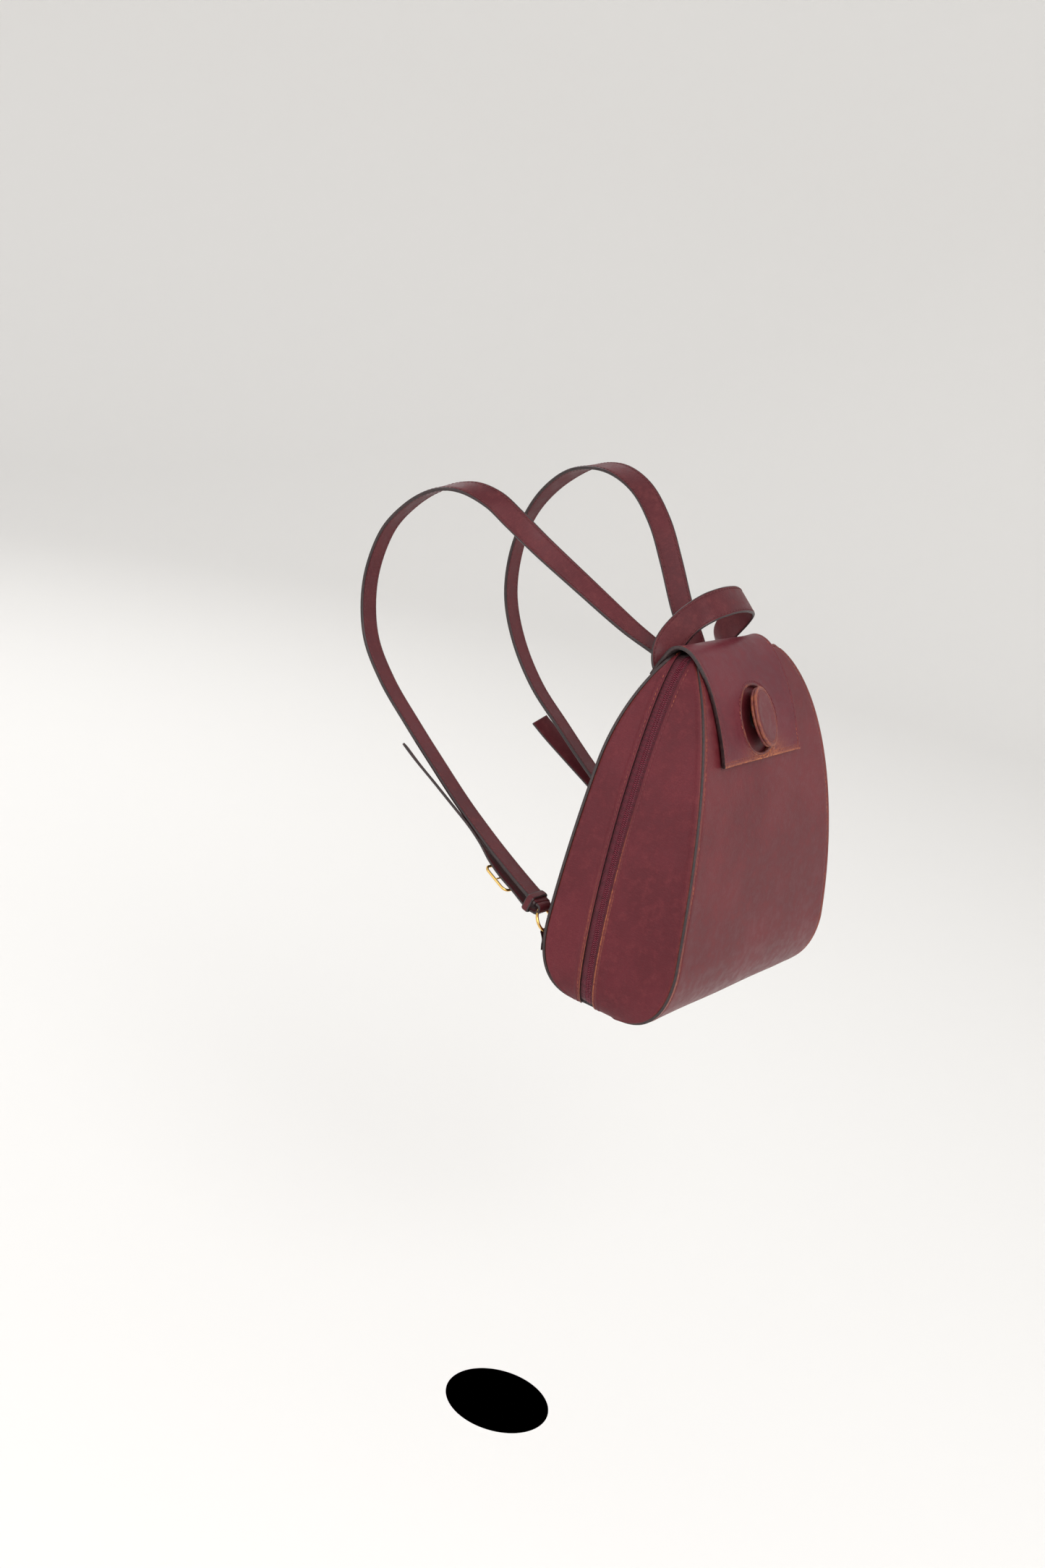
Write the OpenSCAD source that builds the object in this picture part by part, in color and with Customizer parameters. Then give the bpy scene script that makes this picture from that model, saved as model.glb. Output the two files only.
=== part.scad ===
// Leather backpack: a stiff leather case with a zip round its sides and top,
// a flap with a round button, a carrying handle and two buckled shoulder straps.
// The origin is on the back panel, where the case rests on the wearer's back.
// +Y points to the wearer, -Y to the front, and +Z up. Heights in the modules
// are counted from the case's bottom, and lowered() moves them to the origin.

/* [Case] */
// Height of the case without its flap
case_h = 295; // [285:1:305]
// Half of the case's greatest width
half_w = 131.4; // [120:0.1:140]
// Half width of the flat top
top_half_w = 67.4; // [60:0.1:72]
// Height of the origin above the case's bottom
mount_h = 150; // [120:1:180]

/* [Leather] */
// Thickness of the front, base and back panels
panel_t = 2.2; // [2.1:0.1:2.4]
// Thickness of the gussets
gusset_t = 2; // [1.6:0.1:2]
// Thickness of the strap leather
strap_t = 3; // [2.6:0.1:3.2]
// Width of the shoulder straps
strap_w = 20; // [18:1:22]

/* [Zip] */
// Opening in the leather behind the middle of the chain
zip_rear = 7; // [6.6:0.1:7.4]
// Opening in the leather in front of the middle of the chain
zip_front = 5.8; // [5.5:0.1:6.2]
// Half width of the chain
chain_half = 2.4; // [2.2:0.1:2.6]

/* [Flap] */
// Half width of the flap at its lower edge
flap_half_w = 68; // [62:1:70]
// Sideways place of the flap and the button
flap_shift = -13; // [-15:1:0]
// Height of the flap's lower edge
flap_low = 221; // [218:1:228]
// Thickness of the flap's two layers
flap_t = 3; // [2.6:0.1:3.2]
// Gap between the case and the flap
flap_gap = 0.7; // [0.6:0.1:1]

/* [Button] */
// Radius of the round button
button_r = 25.4; // [22:0.1:26]
// Radius of the hole in the flap
hole_r = 28.3; // [27:0.1:29]
// Height of the button's middle
button_h = 252.5; // [251:0.5:256]
// Resting angle of the button about its upright axis
button_turn = 11.5; // [10:0.5:14]

/* [Handle] */
// Half of the distance between the handle's legs
handle_half = 46; // [44:1:48]
// Width of the handle's band
handle_w = 25; // [23:1:26]

/* [Hidden] */

leather = [0.36, 0.09, 0.12];
leather_dark = [0.13, 0.05, 0.06];
tape_red = [0.30, 0.04, 0.09];
gold = [0.83, 0.64, 0.30];
cloth = [0.20, 0.13, 0.11];

steps = 14;
ridge_front = -44;
ridge_back = -24;
back_knee = 195;
front_knee = 62;
lining_gap = 4;
lining_t = 0.8;
tape_half = 9.5;

// ---- Curves ----------------------------------------------------------------

// Point of a cubic Bezier curve
function cubic(p, t) =
    pow(1 - t, 3) * p[0] + 3 * t * pow(1 - t, 2) * p[1]
    + 3 * t * t * (1 - t) * p[2] + pow(t, 3) * p[3];

// Points of a cubic Bezier curve, without its last one
function cubic_run(p, n) = [for (i = [0 : n - 1]) cubic(p, i / n)];

function unit(v) = v / norm(v);

function reversed(list) = [for (i = [len(list) - 1 : -1 : 0]) list[i]];

// Left-hand normal of the stretch from point i to the next one
function left_of(p, i) =
    let (d = unit(p[i + 1] - p[i])) [-d[1], d[0]];

// Open line moved sideways by d, to the left of its direction
function shifted(p, d) = [
    for (i = [0 : len(p) - 1])
        let (
            a = left_of(p, max(i - 1, 0)),
            b = left_of(p, min(i, len(p) - 2))
        )
        p[i] + d * (a + b) / (1 + a * b)
];

// Half of the case seen from the front, from the bottom up to the top: [x, height]
side_line = concat(
    [[0, 0]],
    cubic_run([[116, 0], [127, 0], [half_w, 20], [half_w, 50]], 7),
    cubic_run([[half_w, 50], [half_w, 132], [100, case_h], [top_half_w, case_h]], steps),
    [[top_half_w, case_h], [0, case_h]]
);

// The case seen from its side, from the front of the ridge round to its back: [y, height]
front_curve = [[-127, front_knee], [-116, 168], [-87, 265], [ridge_front, case_h]];
back_curve = [[0, back_knee], [0, 229], [-8, 262], [ridge_back, case_h]];
profile_line = concat(
    reversed(concat(cubic_run(front_curve, steps), [front_curve[3]])),
    reversed(cubic_run([[-66, 0], [-108, 0], [-128, 21], [-127, front_knee]], 10)),
    cubic_run([[-44, 0], [-14, 0], [0, 21], [0, 62]], 10),
    cubic_run([[0, 62], [0, 100], [0, 150], [0, back_knee]], 1),
    cubic_run(back_curve, 10),
    [[ridge_back, case_h]]
);

// Outline seen from the front, moved inwards by d
function front_view(d) =
    let (half = shifted(side_line, d))
    concat(half, [for (p = reversed(half)) if (p[0] > 0.01) [-p[0], p[1]]]);

// Outline seen from the side, moved inwards by d and open at the ridge
function side_view(d) =
    let (line = shifted(profile_line, d), last = len(line) - 1)
    concat([[line[0][0], case_h + 9]], line, [[line[last][0], case_h + 9]]);

// Middle of the zip: its place in y at each height
function zip_at(h) = -52 + 17.3 * h / case_h + 1.4 * sin(180 * h / case_h);

function zip_line(offset, low) =
    [for (i = [0 : 12]) let (h = low + (case_h + 9 - low) * i / 12) [zip_at(h) + offset, h]];

// Line through points p with a natural bend at each, n stretches between two points
function through(p, n) = concat(
    [for (i = [0 : len(p) - 2], j = [0 : n - 1])
        let (
            a = p[max(i - 1, 0)], b = p[i], c = p[i + 1], d = p[min(i + 2, len(p) - 1)],
            t = j / n
        )
        0.5 * (2 * b + (c - a) * t + (2 * a - 5 * b + 4 * c - d) * t * t
            + (3 * b - a - 3 * c + d) * pow(t, 3))],
    [p[len(p) - 1]]
);

// ---- Solids ----------------------------------------------------------------

module lowered() {
    translate([0, 0, -mount_h]) children();
}

// A shape drawn as [x, height], between two places in y
module along_y(from, to) {
    translate([0, to, 0]) rotate([90, 0, 0]) linear_extrude(to - from) children();
}

// A shape drawn as [y, height], between two places in x
module along_x(from, to) {
    translate([from, 0, 0]) rotate([90, 0, 90]) linear_extrude(to - from) children();
}

// Everything of the case that lies d_side inside its sides and d_panel inside its panels
module case_solid(d_side, d_panel) {
    intersection() {
        along_y(-150, 20) polygon(front_view(d_side));
        along_x(-150, 150) intersection() {
            polygon(side_view(d_panel));
            translate([-150, -20]) square([200, case_h + 20 - d_panel]);
        }
    }
}

// Panel leather that is wrapped round the case: [y, height]
module wrap_shape() {
    difference() {
        intersection() {
            polygon(side_view(0));
            translate([-150, -20]) square([200, case_h + 20]);
        }
        polygon(side_view(panel_t));
    }
}

module wrap_part(low_y, high_y, low_h, high_h) {
    intersection() {
        along_y(-150, 20) polygon(front_view(0));
        along_x(-150, 150) intersection() {
            wrap_shape();
            translate([low_y, low_h]) square([high_y - low_y, high_h - low_h]);
        }
    }
}

// Skin round the sides and the top, from depth near to depth far, within a side-view shape
module side_skin(near, far, from_x, to_x) {
    intersection() {
        along_y(-150, 20) difference() {
            polygon(front_view(near));
            polygon(front_view(far));
        }
        along_x(from_x, to_x) intersection() {
            polygon(side_view(panel_t));
            children();
        }
    }
}

module behind_zip(offset, low) {
    polygon(concat(zip_line(offset, low), [[60, case_h + 9], [60, low]]));
}

module before_zip(offset, low) {
    polygon(concat(zip_line(offset, low), [[-160, case_h + 9], [-160, low]]));
}

// Band of width w and thickness t along line p, with its width along the vectors in across
module band(p, across, w, t) {
    last = len(p) - 1;
    rings = [for (i = [0 : last])
        let (
            along = unit(p[min(i + 1, last)] - p[max(i - 1, 0)]),
            flat = unit(across[i] - (across[i] * along) * along),
            up = cross(along, flat)
        )
        for (c = [[-1, -1], [1, -1], [1, 1], [-1, 1]]) p[i] + c[0] * w / 2 * flat + c[1] * t / 2 * up];
    faces = concat(
        [[2, 1, 0], [3, 2, 0]],
        [for (i = [0 : last - 1], k = [0 : 3])
            let (
                a = 4 * i + k, b = 4 * i + (k + 1) % 4,
                pair = k < 2 ? [[a, b, b + 4], [a, b + 4, a + 4]] : [[a, b, a + 4], [b, b + 4, a + 4]]
            )
            for (triangle = pair) triangle],
        [[4 * last, 4 * last + 1, 4 * last + 2], [4 * last, 4 * last + 2, 4 * last + 3]]
    );
    polyhedron(rings, faces, convexity = 6);
}

// ---- Case ------------------------------------------------------------------

module front_panel() {
    color(leather) lowered() wrap_part(-150, ridge_front + 9, front_knee, case_h + 1);
}

module base_panel() {
    color(leather) lowered() wrap_part(-150, 20, -1, front_knee);
}

module back_panel() {
    color(leather) lowered() wrap_part(ridge_front + 9, 20, front_knee, case_h + 1);
}

module gusset_front(side) {
    color(leather) lowered()
        side_skin(0, gusset_t, min(0, 150 * side), max(0, 150 * side)) before_zip(-zip_front, 0);
}

module gusset_rear(side) {
    color(leather) lowered()
        side_skin(0, gusset_t, min(0, 150 * side), max(0, 150 * side)) behind_zip(zip_rear, 0);
}

module gusset_front_l() { gusset_front(-1); }
module gusset_front_r() { gusset_front(1); }
module gusset_rear_l() { gusset_rear(-1); }
module gusset_rear_r() { gusset_rear(1); }

// ---- Zip -------------------------------------------------------------------

module zip_strip(near, far, from, to, low) {
    lowered() side_skin(near, far, -150, 150)
        polygon(concat(zip_line(from, low), reversed(zip_line(to, low))));
}

module zip_tape_front() {
    color(tape_red) zip_strip(gusset_t, gusset_t + 0.8, -tape_half, -chain_half, 6);
}

module zip_tape_rear() {
    color(tape_red) zip_strip(gusset_t, gusset_t + 0.8, chain_half, tape_half, 6);
}

module zip_chain() {
    color(tape_red) zip_strip(1.4, 3.6, -chain_half, chain_half, 6);
}

slider_x = 22;
slider_y = zip_at(case_h);
slider_low = case_h - 1.1;

// Slider on the top stretch of the zip: a wedge-shaped plate with a bridge for the pull
module zip_slider(side) {
    color(gold) lowered() translate([side * slider_x, slider_y, slider_low])
        mirror([side < 0 ? 1 : 0, 0, 0]) {
            linear_extrude(1.2) polygon([[-5, -3.4], [5, -2.6], [5, 2.6], [-5, 3.4]]);
            translate([-2, -1, 1.2]) cube([4, 2, 1.6]);
        }
}

// Pull that lies flat along the chain, looped round the slider's bridge
module zip_pull(side) {
    color(gold) lowered() translate([side * slider_x, slider_y, slider_low + 1.4])
        mirror([side < 0 ? 1 : 0, 0, 0]) difference() {
            translate([-3.5, -2.8, 0]) cube([19, 5.6, 1]);
            translate([-2.3, -1.3, -1]) cube([6.3, 2.6, 3]);
        }
}

module zip_slider_l() { zip_slider(-1); }
module zip_slider_r() { zip_slider(1); }
module zip_pull_l() { zip_pull(-1); }
module zip_pull_r() { zip_pull(1); }

// ---- Inside ----------------------------------------------------------------

// Lining shell, open towards the zip
module lining_shell() {
    difference() {
        case_solid(lining_gap, lining_gap);
        case_solid(lining_gap + lining_t, lining_gap + lining_t);
    }
}

module lining_front() {
    color(cloth) lowered() intersection() {
        lining_shell();
        along_x(-150, 150) before_zip(-tape_half, 0);
    }
}

module lining_back() {
    color(cloth) lowered() intersection() {
        lining_shell();
        along_x(-150, 150) behind_zip(tape_half, 0);
    }
}

module base_board() {
    color(cloth) lowered() translate([-108, -64, panel_t]) cube([216, 18, 1.2]);
}

module back_board() {
    color(cloth) lowered() intersection() {
        along_y(-panel_t - 1.2, -panel_t) polygon(front_view(9));
        translate([-150, -20, 64]) cube([300, 20, back_knee - 66]);
    }
}

module inner_pocket() {
    color(cloth) lowered() translate([-75, -lining_gap - lining_t - 1.2, 70]) cube([150, 1.2, 105]);
}

// ---- Flap ------------------------------------------------------------------

// Line that the flap follows, from the back over the ridge and down the front
back_end = cubic(back_curve, 0.72);
flap_line = concat(
    cubic_run([back_end, [-15, 276], [-19, 284], [-22, 290]], 3),
    cubic_run([[-22, 290], [-26, 302], [-37, 300], [ridge_front, case_h]], 10),
    [for (i = [0 : 12]) cubic(front_curve, 1 - i * 0.46 / 12)]
);

// Slice of the flap between two depths over the case: [y, height]
module flap_slice(low, high) {
    polygon(concat(shifted(flap_line, low), reversed(shifted(flap_line, high))));
}

// The flap's outline seen from the front, a little wider at the ridge
module flap_outline() {
    translate([flap_shift, 0, 0]) along_y(-150, 20) polygon([
        [-flap_half_w, flap_low], [flap_half_w, flap_low],
        [flap_half_w - 1, case_h + 20], [-flap_half_w + 1, case_h + 20]
    ]);
}

fold_y = -47;
lift_h = 291;

module flap_part(low_y, high_y, low_h, high_h, inside) {
    intersection() {
        flap_outline();
        along_x(-90, 90) intersection() {
            flap_slice(inside, -flap_gap - flap_t);
            translate([low_y, low_h]) square([high_y - low_y, high_h - low_h]);
        }
    }
}

// Part of the flap that is sewn flat on the back panel
module flap_root() {
    color(leather) lowered() difference() {
        flap_part(fold_y, 20, 272, lift_h, 1);
        case_solid(0, 0);
    }
}

module flap_top() {
    color(leather) lowered() flap_part(fold_y, 20, lift_h, case_h + 20, -flap_gap);
}

// Axis of the button: it stands square to the front panel at button_h
button_y = -83.3;
button_lean = 31;

pin_z = -1.6;
pin_r = 1.2;
button_low = 2.9;
button_layer = 2.7;

module at_button() {
    translate([flap_shift, button_y, button_h]) rotate([90 - button_lean, 0, 0]) children();
}

module flap_front() {
    color(leather) lowered() difference() {
        flap_part(-150, fold_y, flap_low - 2, case_h + 20, -flap_gap);
        at_button() cylinder(r = hole_r, h = 60, center = true, $fn = 96);
    }
}

// Stitched rim that binds the flap's round hole
module flap_hole_rim() {
    color(leather) lowered() at_button() translate([0, 0, -3]) difference() {
        cylinder(r = hole_r, h = 3.4, $fn = 96);
        translate([0, 0, -1]) cylinder(r = hole_r - 0.6, h = 9, $fn = 96);
    }
}

// Foot on the front panel with two ears and the upright pin that the button rocks on
module button_stem() {
    color(leather_dark) lowered() difference() {
        at_button() {
            difference() {
                translate([0, 0, -6]) cylinder(r = 8, h = 3, $fn = 48);
                translate([0, 3, pin_z]) rotate([90, 0, 0]) cylinder(r = 2.7, h = 6, $fn = 32);
            }
            for (side = [-1, 1]) translate([-2, side * 4 - 1, -6]) cube([4, 2, 6.1]);
            translate([0, 5, pin_z]) rotate([90, 0, 0]) cylinder(r = pin_r, h = 10, $fn = 32);
        }
        case_solid(0, 0);
    }
}

// Turns what it holds with the button, about the pin
module on_button() {
    lowered() at_button() translate([0, 0, pin_z]) rotate([0, button_turn, 0]) children();
}

module button_shank() {
    color(gold) on_button() difference() {
        union() {
            rotate([90, 0, 0]) cylinder(r = 2.1, h = 5, center = true, $fn = 32);
            translate([-1.6, -2.5, 0]) cube([3.2, 5, button_low]);
        }
        rotate([90, 0, 0]) cylinder(r = pin_r + 0.05, h = 8, center = true, $fn = 32);
    }
}

module button_base() {
    color(leather) on_button() translate([0, 0, button_low])
        cylinder(r = button_r - 0.5, h = button_layer, $fn = 96);
}

module button_face() {
    color(leather) on_button() translate([0, 0, button_low + button_layer])
        cylinder(r = button_r, h = button_layer, $fn = 96);
}

// ---- Handle and straps -----------------------------------------------------

// Leather patch on the upper back that the handle and the straps are sewn to
yoke_t = 2.4;

module yoke() {
    color(leather) lowered() intersection() {
        along_y(-60, 30) polygon([[-64, 236], [64, 236], [60, 271.5], [-60, 271.5]]);
        along_x(-70, 70) difference() {
            polygon(side_view(-yoke_t));
            polygon(side_view(0));
            translate([-160, -20]) square([100, case_h + 60]);
        }
    }
}

// Left half of the handle's middle line and the direction of its width there
handle_half_line = [
    [-handle_half - 2, -7, 266], [-handle_half - 2, -3.5, 280], [-handle_half, -4, 296],
    [-handle_half + 2, -14, 316], [-34, -23, 329], [-17, -27, 334.5]
];
handle_half_across = [
    [1, 0, 0], [0.8, -0.6, 0], [0.25, -0.95, -0.1],
    [0, -0.9, -0.4], [0, -0.78, -0.62], [0, -0.74, -0.67]
];
function flipped(list) = [for (v = reversed(list)) [-v[0], v[1], v[2]]];
handle_line = through(concat(handle_half_line, [[0, -28, 336]], flipped(handle_half_line)), 4);
handle_across = through(
    concat(handle_half_across, [[0, -0.74, -0.67]], flipped(handle_half_across)), 4);

module handle() {
    color(leather) lowered() band(handle_line, handle_across, handle_w, 2.6);
}

// The sewn-down ends of the handle
module handle_ends() {
    color(leather) lowered() difference() {
        for (side = [-1, 1])
            translate([side * (handle_half + 2), -2, 246]) rotate([16, 0, 0])
                translate([-handle_w / 2, -3.3, 0]) cube([handle_w, 4.6, 17]);
        along_x(-70, 70) polygon(side_view(-yoke_t));
    }
}

// Middle lines of the shoulder straps, from the yoke over the shoulder to the ring
strap_line_l = [
    [-22, -1.5, 242], [-22, -4.7, 254], [-23, -4.5, 265], [-26, 8, 277], [-34, 45, 292],
    [-47, 92, 316], [-58, 130, 336], [-66, 158, 352], [-71, 180, 363], [-75, 206, 366],
    [-78, 232, 357], [-80, 256, 336], [-83, 273, 306], [-86, 277, 262], [-88, 264, 218],
    [-91, 235, 186], [-94, 196, 158], [-98, 158, 134], [-102, 123, 113], [-106, 90, 96],
    [-110, 64, 84.5], [-114, 38, 74], [-117.5, 15.8, 66]
];
strap_line_r = [
    [22, -1.5, 242], [22, -4.7, 254], [23, -4, 265], [27, 8, 279], [35, 34, 304],
    [44, 62, 340], [51, 86, 368], [58, 116, 390], [66, 152, 397], [73, 188, 386],
    [79, 218, 360], [84, 238, 326], [88, 246, 286], [91, 242, 246], [94, 224, 208],
    [97, 196, 174], [100, 162, 147], [103, 128, 121], [106, 94, 98],
    [110, 66, 85.5], [114, 38, 74], [117.5, 15.8, 66]
];
// Direction of the straps' width: flat on the yoke, up the slope of the back,
// flat on the shoulder and across the body below it
function across_l(s) =
    s < 0.10 ? [-1, 0, 0]
        : s < 0.32 ? [2.2 * (s - 0.10) - 1, 1.6 * (s - 0.10), -3.6 * (s - 0.10)]
        : s < 0.48 ? [-0.52 - 3 * (s - 0.32), 0.35 - 2.2 * (s - 0.32), -0.8 + 5 * (s - 0.32)]
        : [-1, 0, 0];
function across_r(s) =
    s < 0.12 ? [1, 0, 0]
        : s < 0.17 ? [0.85, -0.4, 0.12]
        : s < 0.45 ? [0.6, -0.75, 0.35]
        : s < 0.50 ? [0.85, -0.35, 0.15]
        : [1, 0, 0];
function strap_across(n, side) =
    [for (i = [0 : n - 1]) side < 0 ? across_l(i / (n - 1)) : across_r(i / (n - 1))];

module strap(line, side) {
    n = len(line);
    color(leather) lowered()
        band(through(line, 3), through(strap_across(n, side), 3), strap_w, strap_t);
}

module strap_l() { strap(strap_line_l, -1); }
module strap_r() { strap(strap_line_r, 1); }

// Belt under the left strap: the strap's end, turned back at the ring and
// led through the buckle to its free tip
belt_t = 2.2;
belt_line = [
    [-117.5, 15.8, 58.4], [-117, 22, 58.9], [-116, 30, 61.2], [-114.3, 42, 66.5], [-112, 59, 73],
    [-111, 74, 80.5], [-110, 89, 89], [-109, 106, 98], [-108, 128, 109], [-107, 152, 121],
    [-106.5, 174, 132], [-106, 190, 141]
];
belt_across = [
    [1, 0, 0], [1, 0, 0], [1, 0, 0], [1, 0, 0], [1, 0, 0], [0.98, 0.03, -0.12],
    [0.9, 0.1, -0.4], [0.84, 0.13, -0.52], [0.84, 0.13, -0.52],
    [0.84, 0.13, -0.52], [0.84, 0.13, -0.52], [0.84, 0.13, -0.52]
];

// Puts what is drawn for the left side on the given side
module on_side(side) {
    mirror([side > 0 ? 1 : 0, 0, 0]) children();
}

module belt(side) {
    color(leather) lowered() on_side(side)
        band(through(belt_line, 3), through(belt_across, 3), strap_w - 2, belt_t);
}

module belt_l() { belt(-1); }
module belt_r() { belt(1); }

// The strap's end goes round the ring here: a short bent piece
module turn(side) {
    color(leather) lowered() on_side(side) translate([-117.5, 15.8, 62.2]) rotate([0, 90, 0])
        translate([0, 0, -9]) linear_extrude(18) intersection() {
            difference() {
                circle(r = 5, $fn = 48);
                circle(r = 2.6, $fn = 48);
            }
            translate([-8, -8]) square([16, 8]);
        }
}

module turn_l() { turn(-1); }
module turn_r() { turn(1); }

// Leather loop that holds the strap's two layers together beside the ring
module keeper(side) {
    color(leather) lowered() on_side(side) translate([-116.6, 23.5, 64.2]) rotate([14, 0, 0])
        difference() {
            cube([23.6, 6.5, 14.8], center = true);
            cube([21.2, 8, 12.4], center = true);
        }
}

module keeper_l() { keeper(-1); }
module keeper_r() { keeper(1); }

// Places the buckle on the belt: x across it, y along it and z away from it
module at_buckle(side) {
    lowered() on_side(side) translate([-112, 59, 73]) rotate([23.5, 0, -5.9]) children();
}

frame_half_w = 13;
frame_half_l = 15;

// Depth of the buckle's middle below the belt
bar_z = -2.9;

// Rounded buckle frame with a middle bar
module buckle(side) {
    color(gold) at_buckle(side) translate([0, 0, bar_z]) {
        difference() {
            hull() for (x = [6 - frame_half_w, frame_half_w - 6], y = [6 - frame_half_l, frame_half_l - 6])
                translate([x, y, -1.2]) cylinder(r = 6, h = 2.4, $fn = 32);
            hull() for (x = [6 - frame_half_w, frame_half_w - 6], y = [6 - frame_half_l, frame_half_l - 6])
                translate([x, y, -2]) cylinder(r = 3.8, h = 4, $fn = 32);
        }
        translate([2 - frame_half_w, 0, 0]) rotate([0, 90, 0])
            cylinder(r = 0.7, h = 2 * frame_half_w - 4, $fn = 32);
    }
}

module buckle_l() { buckle(-1); }
module buckle_r() { buckle(1); }

// Prong hinged on the buckle's middle bar, with its tip on the frame
module prong(side) {
    color(gold) at_buckle(side) translate([0, 0, bar_z]) difference() {
        union() {
            translate([-1.5, 0, 0]) rotate([0, 90, 0]) cylinder(r = 1.5, h = 3, $fn = 32);
            translate([-1, 0, -2.4]) cube([2, frame_half_l + 1, 1.1]);
        }
        translate([-3, 0, 0]) rotate([0, 90, 0]) cylinder(r = 0.75, h = 6, $fn = 32);
    }
}

module prong_l() { prong(-1); }
module prong_r() { prong(1); }

// Ring at the lower corner of the back
module ring(side) {
    color(gold) lowered() on_side(side) translate([-118.5, 9, 53.5]) rotate([55, 0, 0])
        rotate_extrude($fn = 48) translate([9.8, 0]) circle(r = 1.3, $fn = 24);
}

module ring_l() { ring(-1); }
module ring_r() { ring(1); }

// Leather tab on the back panel, looped round the ring
module ring_tab(side) {
    color(leather) lowered() on_side(side) difference() {
        union() {
            translate([-125.5, -6, 26]) cube([14, 8, 17]);
            translate([-125.5, 3.5, 45.7]) rotate([0, 90, 0]) cylinder(r = 3.2, h = 14, $fn = 48);
            translate([-125.5, -0.5, 40]) cube([14, 3, 6]);
        }
        translate([-130, 3.5, 45.7]) rotate([0, 90, 0]) cylinder(r = 1.7, h = 24, $fn = 48);
        case_solid(0, 0);
    }
}

module ring_tab_l() { ring_tab(-1); }
module ring_tab_r() { ring_tab(1); }

// ---- All nodes -------------------------------------------------------------

front_panel();
base_panel();
back_panel();
gusset_front_l();
gusset_front_r();
gusset_rear_l();
gusset_rear_r();
zip_tape_front();
zip_tape_rear();
zip_chain();
zip_slider_l();
zip_slider_r();
zip_pull_l();
zip_pull_r();
lining_front();
lining_back();
base_board();
back_board();
inner_pocket();
yoke();
flap_root();
flap_top();
flap_front();
flap_hole_rim();
button_stem();
button_shank();
button_base();
button_face();
handle_ends();
handle();
strap_l();
strap_r();
belt_l();
belt_r();
turn_l();
turn_r();
keeper_l();
keeper_r();
buckle_l();
buckle_r();
prong_l();
prong_r();
ring_l();
ring_r();
ring_tab_l();
ring_tab_r();
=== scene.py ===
"""Leather backpack: a stiff zipped case, a flap with a round button, a handle and two straps.

Shapes are worked out in millimetres, with heights h counted from the case's bottom, and
go into the row frame, in metres, when a mesh is made. -Y is the front and +Y the wearer's
side. What is drawn once for the left side (-X) is mirrored for the right one.
"""
import math

import bpy
import numpy as np
from mathutils import Matrix, Vector


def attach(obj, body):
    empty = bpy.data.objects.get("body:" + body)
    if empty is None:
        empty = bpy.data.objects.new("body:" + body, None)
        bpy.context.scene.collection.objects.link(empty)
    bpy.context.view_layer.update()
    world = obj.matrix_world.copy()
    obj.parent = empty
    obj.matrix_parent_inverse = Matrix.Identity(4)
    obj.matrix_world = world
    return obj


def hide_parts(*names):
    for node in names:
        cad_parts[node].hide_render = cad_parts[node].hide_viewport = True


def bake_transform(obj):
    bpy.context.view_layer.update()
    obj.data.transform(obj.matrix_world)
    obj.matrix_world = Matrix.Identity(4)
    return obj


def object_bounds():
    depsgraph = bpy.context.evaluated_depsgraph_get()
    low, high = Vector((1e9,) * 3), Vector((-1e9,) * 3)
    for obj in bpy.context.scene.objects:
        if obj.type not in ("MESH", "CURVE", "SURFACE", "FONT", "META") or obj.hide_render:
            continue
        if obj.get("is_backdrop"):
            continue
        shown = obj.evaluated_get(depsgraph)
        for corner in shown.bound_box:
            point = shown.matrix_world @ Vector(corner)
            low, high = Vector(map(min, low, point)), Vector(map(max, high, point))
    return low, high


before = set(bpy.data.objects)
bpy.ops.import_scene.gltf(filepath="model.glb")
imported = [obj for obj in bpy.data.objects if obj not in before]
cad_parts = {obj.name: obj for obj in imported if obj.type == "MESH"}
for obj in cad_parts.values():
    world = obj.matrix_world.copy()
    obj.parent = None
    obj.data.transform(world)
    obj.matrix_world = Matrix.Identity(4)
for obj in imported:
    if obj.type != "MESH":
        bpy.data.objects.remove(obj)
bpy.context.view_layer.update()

MM = 0.001
# Case: its height, the origin's height, leather thicknesses and stitching
CASE_H, MOUNT_H = 295.0, 150.0
PANEL_T, GUSSET_T = 2.2, 2.0
PANEL_PROUD, PANEL_SEAM = 0.5, 3.8
# Zip: openings in the leather and half widths of the tapes and the chain
ZIP_REAR, ZIP_FRONT = 7.0, 5.8
TAPE_HALF, CHAIN_HALF = 9.5, 2.4
TOOTH_PITCH, TOOTH_DEPTH = 1.6, 2.1
# Flap and the hole in it, with the distances of their stitches from the edges
FLAP_HALF, FLAP_SHIFT, FLAP_LOW = 68.0, -13.0, 221.0
FLAP_GAP, FLAP_T = 0.7, 3.0
HOLE_R = 28.3
FLAP_SEAM, HOLE_SEAM = 3.4, 3.5
# Button: middle [x, y, h], the tip of its axis, its resting turn and its layers
BUTTON_AT = np.array([FLAP_SHIFT, -83.3, 252.5])
BUTTON_R, BUTTON_SEAM = 25.4, 3.7
BUTTON_TIP, BUTTON_TURN, PIN_Z = 59.0, 11.5, -1.6
BUTTON_LOW, BUTTON_LAYER = 2.9, 2.7
# Yoke patch: lower edge, height, half width and thickness
YOKE_LOW, YOKE_TALL, YOKE_HALF, YOKE_T = 236.0, 35.5, 64.0, 2.4
# Handle, straps and belts
HANDLE_W, HANDLE_T = 25.0, 2.6
STRAP_W, STRAP_T, BELT_W, BELT_T = 20.0, 3.0, 18.0, 2.2
STRAP_SEAM, BELT_SEAM = 2.4, 2.2
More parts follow.
